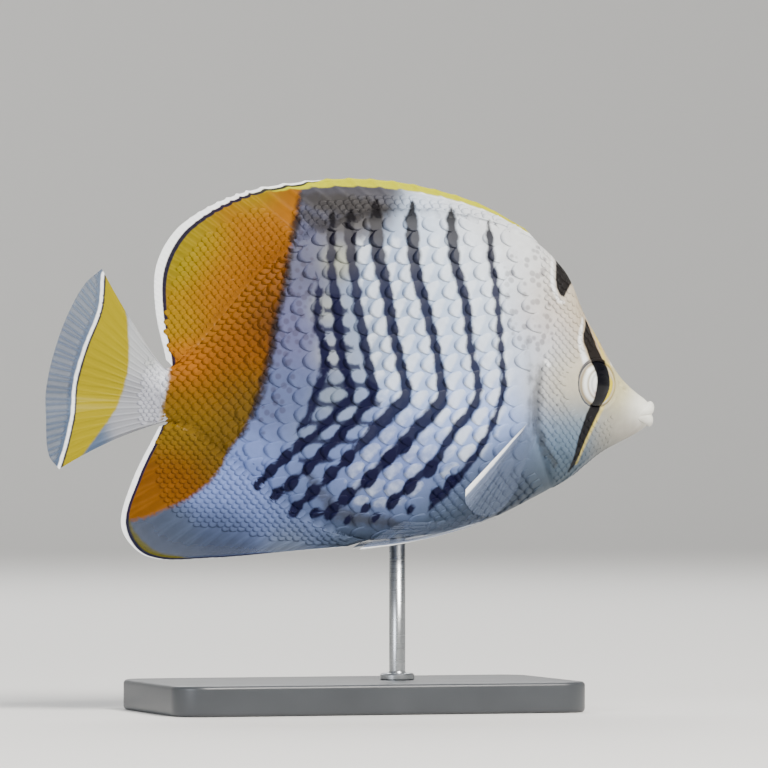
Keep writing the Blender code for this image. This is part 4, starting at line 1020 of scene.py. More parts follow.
PECTORAL_EDGE = (
    (0.0192, -0.0124, 0.0436), (0.0192, -0.0127, 0.0409), (0.0213, -0.0127, 0.0388),
    (0.0247, -0.0122, 0.0385), (0.0277, -0.0115, 0.0404), (0.0300, -0.0109, 0.0432),
)
PELVIC_BASE = ((0.0262, -0.0022, 0.0372), (0.0232, -0.0035, 0.0388))
PELVIC_EDGE = (
    (0.0002, -0.0027, 0.0317), (0.0024, -0.0031, 0.0331), (0.0052, -0.0038, 0.0352),
    (0.0090, -0.0047, 0.0374),
)
PECTORAL_BEND, PELVIC_BEND = (0.0, 0.0, 0.0), (0.0, -0.0011, -0.0008)
DORSAL_SPLIT = 0.56992347
DORSAL_SPINES, DORSAL_RAYS, ANAL_ELEMENTS, TAIL_RAYS, PECTORAL_RAYS, PELVIC_RAYS = 13, 21, 20, 17, 14, 6
EDGE_THICKNESS, UPRIGHT_ROOT, TAIL_ROOT, PAIRED_ROOT = 0.00020, 0.0023, 0.0021, 0.0008
RAY_HEIGHT, SPINE_HEIGHT = 0.00016, 0.00026
COLUMNS_PER_RAY, HIDDEN_ROWS, FIN_ROWS = 10, 4, 30
END_TAPER, SPINY_TAPER, NOTCH_WIDE = 0.03, 0.16, 0.16
UPRIGHT_INWARD, TAIL_INWARD, PAIRED_INWARD = -0.35, -1.0, -0.10
BODY_ROOM, SKIN_OVER, LEAST_HALF = 0.85, 0.0003, 0.00006
SHARP_ANGLE = math.radians(75)
MARGIN_YELLOW, TAIL_YELLOW, ANAL_OLIVE, CLEAR_TINT = "#B4B200", "#8E8000", "#4A4608", "#6C7890"
# Painted shade in the hollows between the rays.
VALLEY_SHADE = (0.62, 0.60, 0.60, 1)
FIN_GRAIN, FIN_GRAIN_DEPTH = 0.0004, 0.00003


def ray_profile(phase, reach, branched):
    """Height, 0 to 1, across one ray; a branched ray forks towards the edge of the fin."""
    fork = 0.22 * smooth_step(reach, 0.35, 1.0) if branched else 0.0
    width = 0.15 - 0.05 * reach
    return np.maximum(bell(phase, fork, width), bell(phase, -fork, width))


def grid_faces(index):
    """Quads between the vertices whose numbers stand in a grid."""
    corners = [index[:-1, :-1], index[1:, :-1], index[1:, 1:], index[:-1, 1:]]
    return np.stack(corners, axis=-1).reshape(-1, 4)


def grid_border(index):
    """The numbers round the edge of such a grid, in order."""
    return [*index[:, 0], *index[-1, 1:], *index[-2::-1, -1], *index[0, -2:0:-1]]


def fin_web(
    name, span, count, place, root, ridge, power=1.6, branched=True, notch=(0.0, 0.0),
    inward=UPRIGHT_INWARD, taper=END_TAPER,
):
    """A closed fin web with its rays raised. Each vertex also gets its share along the fin, its reach
    from the base, its place across its ray and how far its ray reaches."""
    shares = np.linspace(*span, count * COLUMNS_PER_RAY + 1)
    phase = ((shares - span[0]) / (span[1] - span[0]) * count) % 1.0 - 0.5
    phase[-1] = phase[0]
    rows = np.concatenate([np.linspace(inward, 0, HIDDEN_ROWS, endpoint=False), np.linspace(0, 1, FIN_ROWS)])
    ends = 1 - np.clip(np.interp(shares, span, notch), 0, 1) * (1 - bell(phase, 0.0, NOTCH_WIDE))
    share, reach = np.meshgrid(shares, rows, indexing="ij")
    reach = np.where(reach > 0, reach * ends[:, None], reach)
    middle = place(share, reach)
    normal = np.cross(np.gradient(middle, axis=0), np.gradient(middle, axis=1))
    normal /= np.maximum(np.linalg.norm(normal, axis=-1, keepdims=True), 1e-12)
    held = np.clip(reach, 0, 1)
    half = (EDGE_THICKNESS + (root - EDGE_THICKNESS) * (1 - held) ** power) / 2
    rays = ray_profile(phase[:, None], held, branched)
    half = half + ridge * (1 - 0.55 * held) * rays * smooth_step(reach, -0.1, 0.1)
    half = half * (0.35 + 0.65 * smooth_step(1 - held / ends[:, None], 0.0, END_TAPER))
    half = half * (0.2 + 0.8 * smooth_step(np.minimum(share / taper, (1 - share) / END_TAPER), 0.0, 1.0))
    if inward <= UPRIGHT_INWARD:
        room = BODY_ROOM * half_thickness(middle[..., 0], middle[..., 2]) - SKIN_OVER
        half = np.where(reach < 0, np.minimum(half, np.maximum(room, LEAST_HALF)), half)
    out, total = normal * half[..., None], share.size
    verts = np.concatenate([(middle + out).reshape(-1, 3), (middle - out).reshape(-1, 3)])
    index = np.arange(total).reshape(share.shape)
    top, border = grid_faces(index), grid_border(index)
    walls = [(q, p, p + total, q + total) for p, q in zip(border, border[1:] + border[:1])]
    piece = piece_from(name, verts, [*top, *(top[:, [0, 3, 2, 1]] + total), *walls])
    piece.data.set_sharp_from_angle(angle=SHARP_ANGLE)
    across = (np.repeat(v, share.shape[1]) for v in (phase, ends))
    return piece, *(np.tile(v, 2) for v in (share.ravel(), reach.ravel(), *across))


def upright_web(base, edge, root_reach=None):
    """The middle surface of a fin in the midline, ruled from its base line to its edge line. With a
    root reach, what is inside the body runs straight in by that much and draws together."""
    def place(share, reach):
        low, high = (curve_at(line, share.ravel()).reshape(*share.shape, 2) for line in (base, edge))
        step = high - low
        if root_reach is not None:
            level = (low[..., 1] - TAIL_LEVEL) * TAIL_ROOT_SPREAD
            root = np.stack([np.full(level.shape, -root_reach), level], axis=-1)
            step = np.where((reach < 0)[..., None], root, step)
        flat = low + step * reach[..., None]
        return np.stack([flat[..., 0], np.zeros(share.shape), flat[..., 1]], axis=-1)
    return place


def edge_distance(share, reach, ends, base, edge):
    """Millimetres from the fin's free edge, measured along its rays."""
    length = np.linalg.norm(curve_at(edge, share) - curve_at(base, share), axis=1) * 1000
    return (ends - reach) * length


def inside_band(tree, value, middle, half):
    """Millimetres inside a band round a middle value."""
    off = add_node(tree, "ShaderNodeMath", {"operation": "SUBTRACT"}, {0: value, 1: middle})
    away = add_node(tree, "ShaderNodeMath", {"operation": "ABSOLUTE"}, {0: off})
    return add_node(tree, "ShaderNodeMath", {"operation": "SUBTRACT"}, {0: half, 1: away})


def margin_marks(tree, colour, noise, margin_yellow):
    """The yellow margin, the white rim outside it and the dark line between them, each laid by its
    distance from the edge."""
    rim, white_wide, yellow_wide, line_half, line_gap = (
        add_node(tree, "ShaderNodeAttribute", {"attribute_name": word}, output="Fac")
        for word in ("rim", "white_wide", "yellow_wide", "line_half", "line_gap")
    )
    for wide, paint, soft, roam in (
        (yellow_wide, margin_yellow, 0.30, 0.6), (white_wide, PAINT_WHITE, 0.16, 0.2),
    ):
        inside = add_node(tree, "ShaderNodeMath", {"operation": "SUBTRACT"}, {0: wide, 1: rim})
        colour = layer(tree, colour, inside, paint, soft, noise, roam)
    line_at = add_node(tree, "ShaderNodeMath", {"operation": "ADD"}, {0: white_wide, 1: line_gap})
    return layer(tree, colour, inside_band(tree, rim, line_at, line_half), DARK_INK, 0.14, noise, 0.2, 0.95)


def tail_marks(tree, colour, noise, yellow_paint):
    """The tail's yellow blade, and the thin dark and white lines along its rear side."""
    beyond, blade = (
        add_node(tree, "ShaderNodeAttribute", {"attribute_name": word}, output="Fac")
        for word in ("beyond", "blade")
    )
    within = add_node(tree, "ShaderNodeMath", {"operation": "SUBTRACT"}, {0: 0.1, 1: beyond})
    yellow = add_node(tree, "ShaderNodeMath", {"operation": "MINIMUM"}, {0: within, 1: blade})
    colour = layer(tree, colour, yellow, yellow_paint, 0.30, noise, 0.6)
    for middle, half, paint in ((0.50, 0.34, PAINT_WHITE), (0.0, 0.17, DARK_INK)):
        colour = layer(tree, colour, inside_band(tree, beyond, middle, half), paint, 0.14, noise, 0.3, 0.95)
    return colour


def flexible_resin(tree, place, marks, paint, clear_from=None, marked=True):
    """Airbrushed flexible resin: paint over a slightly glassy web; clear_from fades it to clear resin."""
    noise = add_node(tree, "ShaderNodeTexNoise", inputs={"Vector": place, "Scale": 1 / MOTTLE, "Detail": 3.0})
    if marked:
        colour = body_colour(tree, place, False)
    else:
        colour = add_node(tree, "ShaderNodeAttribute", {"attribute_name": "cool_tint"}, output="Color")
    # Painted shade: the hollows between the rays are darkened.
    valley = add_node(tree, "ShaderNodeAttribute", {"attribute_name": "valley"}, output="Fac")
    colour = add_node(
        tree, "ShaderNodeMix", {"data_type": "RGBA", "blend_type": "MULTIPLY"},
        {"Factor": valley, "A": colour, "B": VALLEY_SHADE}, "Result",
    )
    colour = marks(tree, colour, noise, paint)
    normal, _ = fine_relief(tree, place, FIN_GRAIN, 2.0, 0.4, FIN_GRAIN_DEPTH)
    look = {**SATIN_VARNISH, "Base Color": colour, "Normal": normal, "Roughness": 0.45, "Coat Weight": 0.03}
    if clear_from is not None:
        clear = add_node(tree, "ShaderNodeAttribute", {"attribute_name": "clear"}, output="Fac")
        look["Alpha"] = add_node(
            tree, "ShaderNodeMapRange", inputs={"Value": clear, "To Min": 1.0, "To Max": clear_from}
        )
    return look


solid_fin = new_material("airbrushed_fin_resin", flexible_resin, margin_marks, MARGIN_YELLOW)
anal_finish = new_material("airbrushed_anal_resin", flexible_resin, margin_marks, ANAL_OLIVE, 0.5)
clear_fin = new_material("clear_fin_resin", flexible_resin, margin_marks, MARGIN_YELLOW, 0.06, False)
tail_finish = new_material("airbrushed_tail_resin", flexible_resin, tail_marks, TAIL_YELLOW, 0.38, False)

# How wide the margins are, in millimetres: by the place across the picture on the dorsal fin, and by
# the share along the fin on the anal fin. A width below 0 leaves its mark out.
DORSAL_MARGIN = {
    "white_wide": ((150, 165, 200, 250, 300, 318, 330), (1.9, 1.8, 1.3, 0.75, 0.5, 0.2, -0.6)),
    "yellow_wide": ((215, 250, 290, 320, 360, 400, 480, 520), (0.0, 1.0, 1.7, 2.0, 2.3, 2.3, 1.7, 1.2)),
    "line_half": ((150, 200, 260, 300, 318, 330), (0.46, 0.42, 0.32, 0.26, 0.1, -1.0)),
}
ANAL_MARGIN = {
    "white_wide": ((0.0, 0.2, 0.5, 0.62, 0.68, 0.8, 0.93, 1.0), (0.5, 0.2, 0.1, 0.3, 0.9, 1.5, 1.4, 0.7)),
    "yellow_wide": ((0.0, 0.40, 0.5, 0.62, 0.70, 0.76, 1.0), (-3.0, -1.0, 1.3, 2.2, 2.0, 0.0, -3.0)),
    "line_half": ((0.0, 0.16, 0.24, 0.5, 0.64, 1.0), (-1.0, -0.4, 0.24, 0.27, 0.34, 0.42)),
}
PALE_LINE, PALE_LINE_OFF = ((350, 420), (-1.0, 0.14)), 0.4

upright_fins = []
for fin_name, span, count, base_line, edge_line, ridge, branched, notch, finish, node, slot_name in (
    ("spiny_dorsal", (0.0, DORSAL_SPLIT), DORSAL_SPINES, DORSAL_BASE, DORSAL_EDGE, SPINE_HEIGHT, False,
     (0.05, 0.03), solid_fin, "dorsal_fin_spiny", "yellow_fin_edge"),
    ("soft_dorsal", (DORSAL_SPLIT, 1.0), DORSAL_RAYS, DORSAL_BASE, DORSAL_EDGE, RAY_HEIGHT, True,
     (0.03, -0.05), solid_fin, "dorsal_fin_soft", "orange_skin"),
    ("anal_web", (0.0, 1.0), ANAL_ELEMENTS, ANAL_BASE, ANAL_EDGE, RAY_HEIGHT, True,
     (0.0, 0.0), anal_finish, "anal_fin", "anal_fin_skin"),
):
    fin, share, reach, phase, ends = fin_web(
        fin_name, span, count, upright_web(base_line, edge_line), UPRIGHT_ROOT, ridge, 1.6, branched, notch,
        taper=END_TAPER if branched else SPINY_TAPER,
    )
    spots = flat_mm(vertices_of(fin))
    paint = body_paint(spots)
    paint["rim"] = edge_distance(share, reach, ends, base_line, edge_line)
    # Painted shade in the hollows between the rays, stronger towards the fin's edge.
    valley = np.clip(1 - ray_profile(phase, np.clip(reach, 0, 1), branched), 0, 1)
    paint["valley"] = valley * smooth_step(reach, 0.3, 0.8) * 0.5
    if node == "anal_fin":
        for mark, widths in ANAL_MARGIN.items():
            paint[mark] = np.interp(share, *widths)
        outer = smooth_step(reach, 0.5, 0.95) * smooth_step(paint["rim"], 0.7, 1.4)
        paint["clear"] = smooth_step(-paint["orange"], -0.5, 1.0) * outer * 0.55
    else:
        across = PICTURE_MIDDLE + POINTS_PER_MM * spots[:, 0]
        for mark, widths in DORSAL_MARGIN.items():
            paint[mark] = np.interp(across, *widths)
        off_line = np.abs(paint["rim"] - paint["yellow_wide"] - PALE_LINE_OFF)
        paint["white"] = np.maximum(paint["white"], np.interp(across, *PALE_LINE) - off_line)
    paint["line_gap"] = np.maximum(paint["line_half"], 0.1)
    store(fin, paint)
    fin.data.materials.append(finish)
    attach(fin, "root")
    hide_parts(node)
    upright_fins.append((fin, base_line, edge_line, share, reach))

# The tail fin: a yellow blade with a thin dark line behind it, and a clear rear margin, with a band of
# painted shade just above its crease.
TAIL_BLADE = (
    (108, 274), (97, 300), (84, 345), (75, 380), (72, 405), (65, 440), (58, 472), (75, 466),
    (100, 435), (120, 405), (128, 380), (131, 345), (125, 300),
)
TAIL_LINE = ((108, 276), (105, 310), (92, 345), (83, 380), (80, 405), (73, 440), (65, 468))
TAIL_TINTS = (
    (150, 350, 14, "#A4A6A8"), (155, 395, 14, "#A4A6AC"), (163, 378, 8, "#DADCE2"),
    (140, 410, 14, "#8C8E94"), (70, 350, 20, "#56647C"), (60, 430, 20, "#4C5C74"),
    (90, 300, 16, "#5E6C80"),
)
TAIL_SHADE_AT, TAIL_SHADE_WIDE, TAIL_SHADE_ENDS = 65.0, 3.2, (-67.5, -60.5)
TAIL_LINE_STEPS = 60

flat_tail = upright_web(TAIL_BASE, TAIL_EDGE, TAIL_ROOT_REACH)


def folded_tail(share, reach):
    """The tail fin's middle surface, creased a little below its middle, with its rays bowed apart."""
    point = flat_tail(share, reach)
    held = np.clip(reach, 0, 1)
    past = share - TAIL_CREASE_AT
    away = np.where(past < 0, -past / TAIL_CREASE_REACH[0], past / TAIL_CREASE_REACH[1])
    point[..., 1] += TAIL_CREASE_DEPTH * held**1.5 * smooth_step(1 - away, 0.0, 1.0)
    point[..., 2] += TAIL_RAY_BOW * 4 * held * (1 - held) * (2 * share - 1)
    return point


tail, share, reach, phase, _ = fin_web(
    "tail_web", (0.0, 1.0), TAIL_RAYS, folded_tail, TAIL_ROOT, RAY_HEIGHT, 2.2, inward=TAIL_INWARD
)
spots = flat_mm(vertices_of(tail))
line = curve_at(midline_place(TAIL_LINE), np.linspace(0, 1, TAIL_LINE_STEPS))
line_x, line_z = midline_place(TAIL_LINE)[::-1].T
beyond = np.min([nearest_on(spots, a, b)[0] for a, b in zip(line, line[1:])], axis=0)
beyond = beyond * np.sign(np.interp(spots[:, 1], line_z, line_x) - spots[:, 0])
# A band of painted shade across the tail just above its crease: it darkens the ground tint and deepens the
# painted shade between the rays.
shade = bell(spots[:, 1], TAIL_SHADE_AT, TAIL_SHADE_WIDE) * smooth_step(-spots[:, 1], *TAIL_SHADE_ENDS)
rays = ray_profile(phase, np.clip(reach, 0, 1), True)
store(tail, {
    "cool_tint": tint_of(spots, TAIL_TINTS, midline_place) * (1 - 0.25 * shade)[:, None],
    "blade": area_field(spots, smooth_outline(midline_place(TAIL_BLADE), 90)), "beyond": beyond,
    "valley": np.clip(1 - rays, 0, 1) * (0.2 + 0.6 * shade),
    "clear": smooth_step(beyond, 0.9, 1.8) * (1 - 0.6 * rays),
})
tail.data.materials.append(tail_finish)
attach(tail, "root")
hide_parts("caudal_fin")
upright_fins.append((tail, TAIL_BASE, TAIL_EDGE, share, reach))


def pectoral_root(share):
    """The pectoral fin's root line, on the right flank."""
    x, z = (first + (last - first) * share for first, last in (PECTORAL_ROOT_X, PECTORAL_ROOT_LEVELS))
    return np.stack([x, -half_thickness(x, z), z], axis=-1)


def pelvic_root(share):
    """The pelvic fin's root line, on the right side of the belly."""
    first, last = np.array(PELVIC_BASE)
    return first + (last - first) * share[..., None]


def paired_web(root_line, edge, bend, side):
    """The middle surface of a paired fin, ruled from its root line to its edge line and bowed."""
    def place(share, reach):
        root, rim = root_line(share), curve_at(edge, share.ravel()).reshape(*share.shape, 3)
        held = np.clip(reach, 0, 1)
        bow = np.array(bend) * (4 * held * (1 - held))[..., None]
        return (root + (rim - root) * reach[..., None] + bow) * np.array([1.0, -side, 1.0])
    return place


for side, word in ((-1, "right"), (1, "left")):
    for fin_name, count, place_fin, node in (
        ("pectoral_web_" + word, PECTORAL_RAYS,
         paired_web(pectoral_root, PECTORAL_EDGE, PECTORAL_BEND, side), "pectoral_fin_" + word),
        ("pelvic_web_" + word, PELVIC_RAYS,
         paired_web(pelvic_root, PELVIC_EDGE, PELVIC_BEND, side), "pelvic_fin_" + word),
    ):
        fin, share, reach, phase, _ = fin_web(
            fin_name, (0.0, 1.0), count, place_fin, PAIRED_ROOT, RAY_HEIGHT, inward=PAIRED_INWARD
        )
        held = np.clip(reach, 0, 1)
        rays, behind = ray_profile(phase, held, True), smooth_step(share, 0.04, 0.30)
        absent = np.full(len(share), -9.0)
        # The ray hollows carry painted shade.
        store(fin, {
            "cool_tint": np.tile(linear(CLEAR_TINT)[:3], (len(share), 1)), "valley": 0.3 * (1 - rays),
            "rim": share * 9, "white_wide": 1 - (1 - held) ** 3 - 0.3 * reach,
            "yellow_wide": absent, "line_half": absent, "line_gap": np.zeros(len(share)),
            "clear": 1 - (1 - behind) * smooth_step(reach, -0.05, 0.3) - 0.26 * rays * behind,
        })
        fin.data.materials.append(clear_fin)
        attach(fin, "root")
        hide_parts(node)


# Scales
# Thin cast scales laid like roof tiles, their free edges towards the tail: 3.8 mm apart on the flanks
# and 1.2 to 2.3 mm on head, breast, rear and fin bases. They carry on the paint of what they cover.
# Rows: from and to along the body, pitch along and round it, how far each row moves on, staggered or
# not, and how much of the way to the belly they go. Sizes: length, width and thickness.
FLANK_ROWS, FLANK_SIZE = (-0.0300, 0.0400, 0.00385, 0.00366, 0.00072, False), (0.0067, 0.0050, 0.85)
REAR_ROWS, REAR_SIZE = (-0.0372, -0.0050, 0.0020, 0.00115, 0.0, True), (0.0038, 0.0027, 0.8)
HEAD_ROWS, HEAD_SIZE = (0.0330, 0.0540, 0.00155, 0.00088, 0.0, True), (0.0029, 0.0021, 0.6)
BREAST_ROWS, BREAST_SIZE = (0.0160, 0.0450, 0.0023, 0.0013, 0.0, True, 0.985), (0.0044, 0.0031, 0.8)
# Where each coat stops: past the gill's edge, round the orange in millimetres, and round eye and nose.
FLANK_PAST_GILL, FLANK_OFF_ORANGE, FLANK_OFF_BREAST = 0.0022, -1.2, 0.0465
REAR_OFF_ORANGE, REAR_ALWAYS, STALK_FROM, STALK_HELD = -3.4, -0.0300, -0.0330, 0.90
HEAD_PAST_GILL, HEAD_PAST_NAPE, GILL_FOOT = 0.0026, 0.0002, 0.0425
EYE_BARE, EYE_BARE_SHIFT, NOSTRIL_BARE, NOSTRIL_BARE_SHIFT = 0.0068, 0.0010, 0.0008, 0.0006
SNOUT_FROM, SNOUT_SHRINK = (0.0440, 0.0535), 0.42
BREAST_TOP, BREAST_REAR, BREAST_OFF_GILL = 0.0470, 0.0175, -0.0002
CLAMP_REAR, CLAMP_FRONT = BODY_END + 0.0002, BODY_FRONT - 0.0004
SCALE_PORE, SCALE_PORE_DEPTH = 0.0004, 0.00003
# The painted highlight on each flank scale: where it crosses the scale, its slant, half width and ends, and
# how it fades out.
STREAK_AT, STREAK_SLANT, STREAK_HALF, STREAK_LENGTH = 0.72, 0.24, 0.80, 4.6
STREAK_REACH, STREAK_WIDTH, STREAK_FADE, STREAK_FAINT = 0.82, 2.2, 0.3, -0.08
TILE_STEPS_BIG, TILE_STEPS_SMALL = 6, 4
TILE_UNDER, TILE_THICK, TILE_UNIT = 0.97, 0.11, 0.001
TILE_UNEVEN, TILE_EDGE_FROM = 0.05, 0.82
TAIL_AIM, TAIL_AIM_SHARE = (-0.062, 0.0, 0.0620), 0.4
GIRTH_PLACES, GIRTH_TURNS, MOST_ROWS = 260, 181, 60
BACK_EDGE_BARE = 0.0004
MAP_SPREAD, MAP_MARGIN, MAP_TILE = 0.96, 0.02, 0.003
STREAK_AREA = (
    (354, 240), (500, 235), (508, 300), (512, 380), (500, 425), (480, 455), (462, 466), (446, 432),
    (420, 408), (392, 396), (376, 385), (366, 345), (358, 300),
)
FAINT_STREAK_AREA = (
    (368, 350), (512, 380), (490, 430), (440, 480), (390, 505), (348, 500), (350, 465), (378, 410),
)


def tile_shape(name, steps):
    """One scale, root at 0 and free edge at 1, and each vertex's place along it, across it and its lift."""
    numbers = np.linspace(0, 1, steps + 1), np.linspace(-1, 1, steps + 1)
    u, v = (grid.ravel() for grid in np.meshgrid(*numbers, indexing="ij"))
    along = u * (1 - 0.34 * np.abs(v) ** 2.2 * u)
    across = 0.5 * v * (0.88 + 0.20 * np.sin(math.pi * np.minimum(u * 1.25, 1.0)) - 0.10 * u**3)
    lift = -0.10 + 0.27 * u**0.8 - 0.10 * v * v
    index = np.arange(len(u)).reshape(steps + 1, steps + 1)
    border, start = grid_border(index.T), len(u)
    count = len(border)
    along, across = (np.concatenate([part, part[border] * TILE_UNDER]) for part in (along, across))
    lift = np.concatenate([lift, lift[border] - TILE_THICK]) * TILE_UNIT
    faces = [*grid_faces(index), range(start, start + count)]
    faces += [(border[k], border[(k + 1) % count], start + (k + 1) % count, start + k) for k in range(count)]
    return piece_from(name, np.stack([along, across, lift], axis=-1), faces), along, across * 2, lift


def tile_rows():
    """A node tree that sets a scale on each guide point, turned to the lie there."""
    tree = bpy.data.node_groups.new("scale_rows", "GeometryNodeTree")
    for name, kind in (
        ("Geometry", "Geometry"), ("Scale Shape", "Object"), ("Length", "Float"), ("Width", "Float"),
        ("Thickness", "Float"), ("Unevenness", "Float"), ("Seed", "Int"), ("Finish", "Material"),
    ):
        tree.interface.new_socket(name=name, in_out="INPUT", socket_type="NodeSocket" + kind)
    tree.interface.new_socket(name="Geometry", in_out="OUTPUT", socket_type="NodeSocketGeometry")
    given = add_node(tree, "NodeGroupInput", output=None).outputs
    shape = add_node(
        tree, "GeometryNodeObjectInfo", inputs={"Object": given["Scale Shape"]}, output="Geometry"
    )
    lie = add_node(tree, "GeometryNodeInputNamedAttribute", {"data_type": "FLOAT_VECTOR"}, {"Name": "lie"})
    turn = add_node(tree, "FunctionNodeEulerToRotation", inputs={0: lie})
    least, most = (
        add_node(tree, "ShaderNodeMath", {"operation": way}, {0: 1.0, 1: given["Unevenness"]})
        for way in ("SUBTRACT", "ADD")
    )
    vary = add_node(
        tree, "FunctionNodeRandomValue", {"data_type": "FLOAT"}, {2: least, 3: most, "Seed": given["Seed"]}, 1
    )
    near = add_node(tree, "GeometryNodeInputNamedAttribute", {"data_type": "FLOAT"}, {"Name": "size"})
    size = add_node(
        tree, "ShaderNodeCombineXYZ",
        inputs={"X": given["Length"], "Y": given["Width"], "Z": given["Thickness"]},
    )
    for factor in (vary, near):
        size = add_node(tree, "ShaderNodeVectorMath", {"operation": "SCALE"}, {0: size, "Scale": factor})
    laid = add_node(
        tree, "GeometryNodeInstanceOnPoints",
        inputs={"Points": given["Geometry"], "Instance": shape, "Rotation": turn, "Scale": size},
    )
    solid = add_node(tree, "GeometryNodeRealizeInstances", inputs={"Geometry": laid})
    dressed = add_node(
        tree, "GeometryNodeSetMaterial", inputs={"Geometry": solid, "Material": given["Finish"]}
    )
    add_node(tree, "NodeGroupOutput", inputs={"Geometry": dressed}, output=None)
    return tree


scale_paint = new_material(
    "varnished_scale_paint", varnished_paint, True, 0.44, SCALE_PORE, SCALE_PORE_DEPTH
)
scale_rows = tile_rows()
big_tile, small_tile = tile_shape("big_scale", TILE_STEPS_BIG), tile_shape("small_scale", TILE_STEPS_SMALL)


def lay_tiles(name, roots, rear, normal, sizes, tile, length, width, thickness, seed):
    """Scales on guide points, as one plain mesh."""
    guide = piece_from(name + "_guide", roots, [])
    turns = []
    for back, out in zip(rear, normal):
        out, back = Vector(out).normalized(), Vector(back)
        back = (back - out * back.dot(out)).normalized()
        turns.append(tuple(Matrix((back, out.cross(back), out)).transposed().to_euler()))
    lie = guide.data.attributes.new("lie", "FLOAT_VECTOR", "POINT")
    lie.data.foreach_set("vector", np.array(turns, np.float32).ravel())
    store(guide, {"size": sizes})
    step = guide.modifiers.new("scale_rows", "NODES")
    step.node_group = scale_rows
    given = {
        "Scale Shape": tile[0], "Length": length, "Width": width, "Thickness": thickness,
        "Unevenness": TILE_UNEVEN, "Seed": seed, "Finish": scale_paint,
    }
    for item in scale_rows.interface.items_tree:
        if item.in_out == "INPUT" and item.name in given:
            step[item.identifier] = given[item.name]
    graph = bpy.context.evaluated_depsgraph_get()
    graph.update()
    mesh = bpy.data.meshes.new_from_object(guide.evaluated_get(graph))
    bpy.data.objects.remove(guide)
    mesh.name = name
    coat = bpy.data.objects.new(name, mesh)
    bpy.context.scene.collection.objects.link(coat)
    return coat


def finish_coat(coat, settled, tile, root_map, edge_shade, streak=None):
    """Sets the scales down on what they cover, paints them, and maps each at its root."""
    mesh = coat.data
    mesh.vertices.foreach_set("co", settled.astype(np.float32).ravel())
    mesh.polygons.foreach_set("use_smooth", [True] * len(mesh.polygons))
    mesh.update()
    along, across = (np.tile(part, len(root_map)) for part in tile[1:3])
    paint = body_paint(flat_mm(settled))
    paint["scale_edge"] = edge_shade * smooth_step(along, TILE_EDGE_FROM, 1.0)
    paint["streak"] = np.full(len(settled), -9.0) if streak is None else streak(settled, along, across)
    store(coat, paint)
    flat = np.repeat(root_map, len(tile[1]), axis=0) + np.column_stack([along - 0.5, across * 0.5]) * MAP_TILE
    corners = np.empty(len(mesh.loops), np.int32)
    mesh.loops.foreach_get("vertex_index", corners)
    bake_map = mesh.uv_layers.new(name="OFBake")
    bake_map.data.foreach_set("uv", flat[corners].astype(np.float32).ravel())
    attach(coat, "root")


def body_angle(spots):
    """The angle round the body of points on or near it."""
    x, y, z = spots.T
    level, height, edge = body_height(x, z >= np.interp(x, *widest_level))
    out = (np.abs(y) / np.interp(x, *half_width)) ** (1 / edge)
    angle = np.arctan2(out, (z - level) / height)
    return np.where(y < 0, 2 * math.pi - angle, angle)


# The way round the body from its widest level, below 0 towards the back, at places along it.
girth_x = np.linspace(BODY_END, BODY_FRONT, GIRTH_PLACES)
girth_angle = np.linspace(0, math.pi, GIRTH_TURNS)
girth_points = body_point(*np.meshgrid(girth_x, girth_angle, indexing="ij"))
girth = np.cumsum(np.linalg.norm(np.diff(girth_points, axis=1), axis=2), axis=1)
girth = np.concatenate([np.zeros((GIRTH_PLACES, 1)), girth], axis=1)
girth -= girth[:, GIRTH_TURNS // 2 : GIRTH_TURNS // 2 + 1]


def body_rows(low, high, pitch, pitch_round, lean, stagger, most=1.0):
    """Root places (x, angle) in rows round the left side; lean moves each row along."""
    found = []
    for j in range(-MOST_ROWS, MOST_ROWS + 1):
        shift = j * lean + (0.5 * pitch if stagger and j % 2 else 0.0)
        first = math.ceil((low - shift) / pitch)
        for i in range(first, first + int((high - low) / pitch) + 1):
            x = i * pitch + shift
            if low <= x <= high:
                ring = girth[int(round((x - BODY_END) / (BODY_FRONT - BODY_END) * (GIRTH_PLACES - 1)))]
                if ring[0] + BACK_EDGE_BARE < j * pitch_round < ring[-1] * most:
                    found.append((x, float(np.interp(j * pitch_round, ring, girth_angle))))
    return np.array(found)


def laid_out(*rows):
    """Root places in rows, the same as points in space, how far each lies ahead of the gill's edge, and
    how many millimetres inside the orange rear."""
    places = body_rows(*rows)
    spots = body_point(places[:, 0], places[:, 1])
    ahead = spots[:, 0] - np.interp(spots[:, 2], *gill_line)
    return places, spots, ahead, area_field(flat_mm(spots), flank_place(ORANGE_AREA))


def coat_body(
    name, places, tile, length, width, thickness, seed, edge_shade, slot_name, sizes=1.0, streak=None,
    under_gill=False,
):
    """Scales on both sides of the body at root places (x, angle) of the left side."""
    x = np.tile(places[:, 0], 2)
    angle = np.concatenate([places[:, 1], 2 * math.pi - places[:, 1]])
    roots, normal = skin_point(x, angle), body_normal(x, angle)
    aim = np.array(TAIL_AIM) - roots * np.array([1, 0, 1])
    aim /= np.linalg.norm(aim, axis=1, keepdims=True)
    rear = (1 - TAIL_AIM_SHARE) * np.array([-1.0, 0.0, 0.0]) + TAIL_AIM_SHARE * aim
    sizes = np.tile(np.broadcast_to(sizes, len(places)), 2)
    coat = lay_tiles(name, roots, rear, normal, sizes, tile, length, width, thickness, seed)
    spots = vertices_of(coat)
    spots[:, 0] = np.clip(spots[:, 0], CLAMP_REAR, CLAMP_FRONT)
    around, lift = body_angle(spots), np.tile(tile[3], len(x)) * thickness
    settled = skin_point(spots[:, 0], around, under_gill) + body_normal(spots[:, 0], around) * lift[:, None]
    root_map = np.column_stack([(x - BODY_END) / (BODY_FRONT - BODY_END), angle / (2 * math.pi)])
    finish_coat(coat, settled, tile, root_map * MAP_SPREAD + MAP_MARGIN, edge_shade, streak)


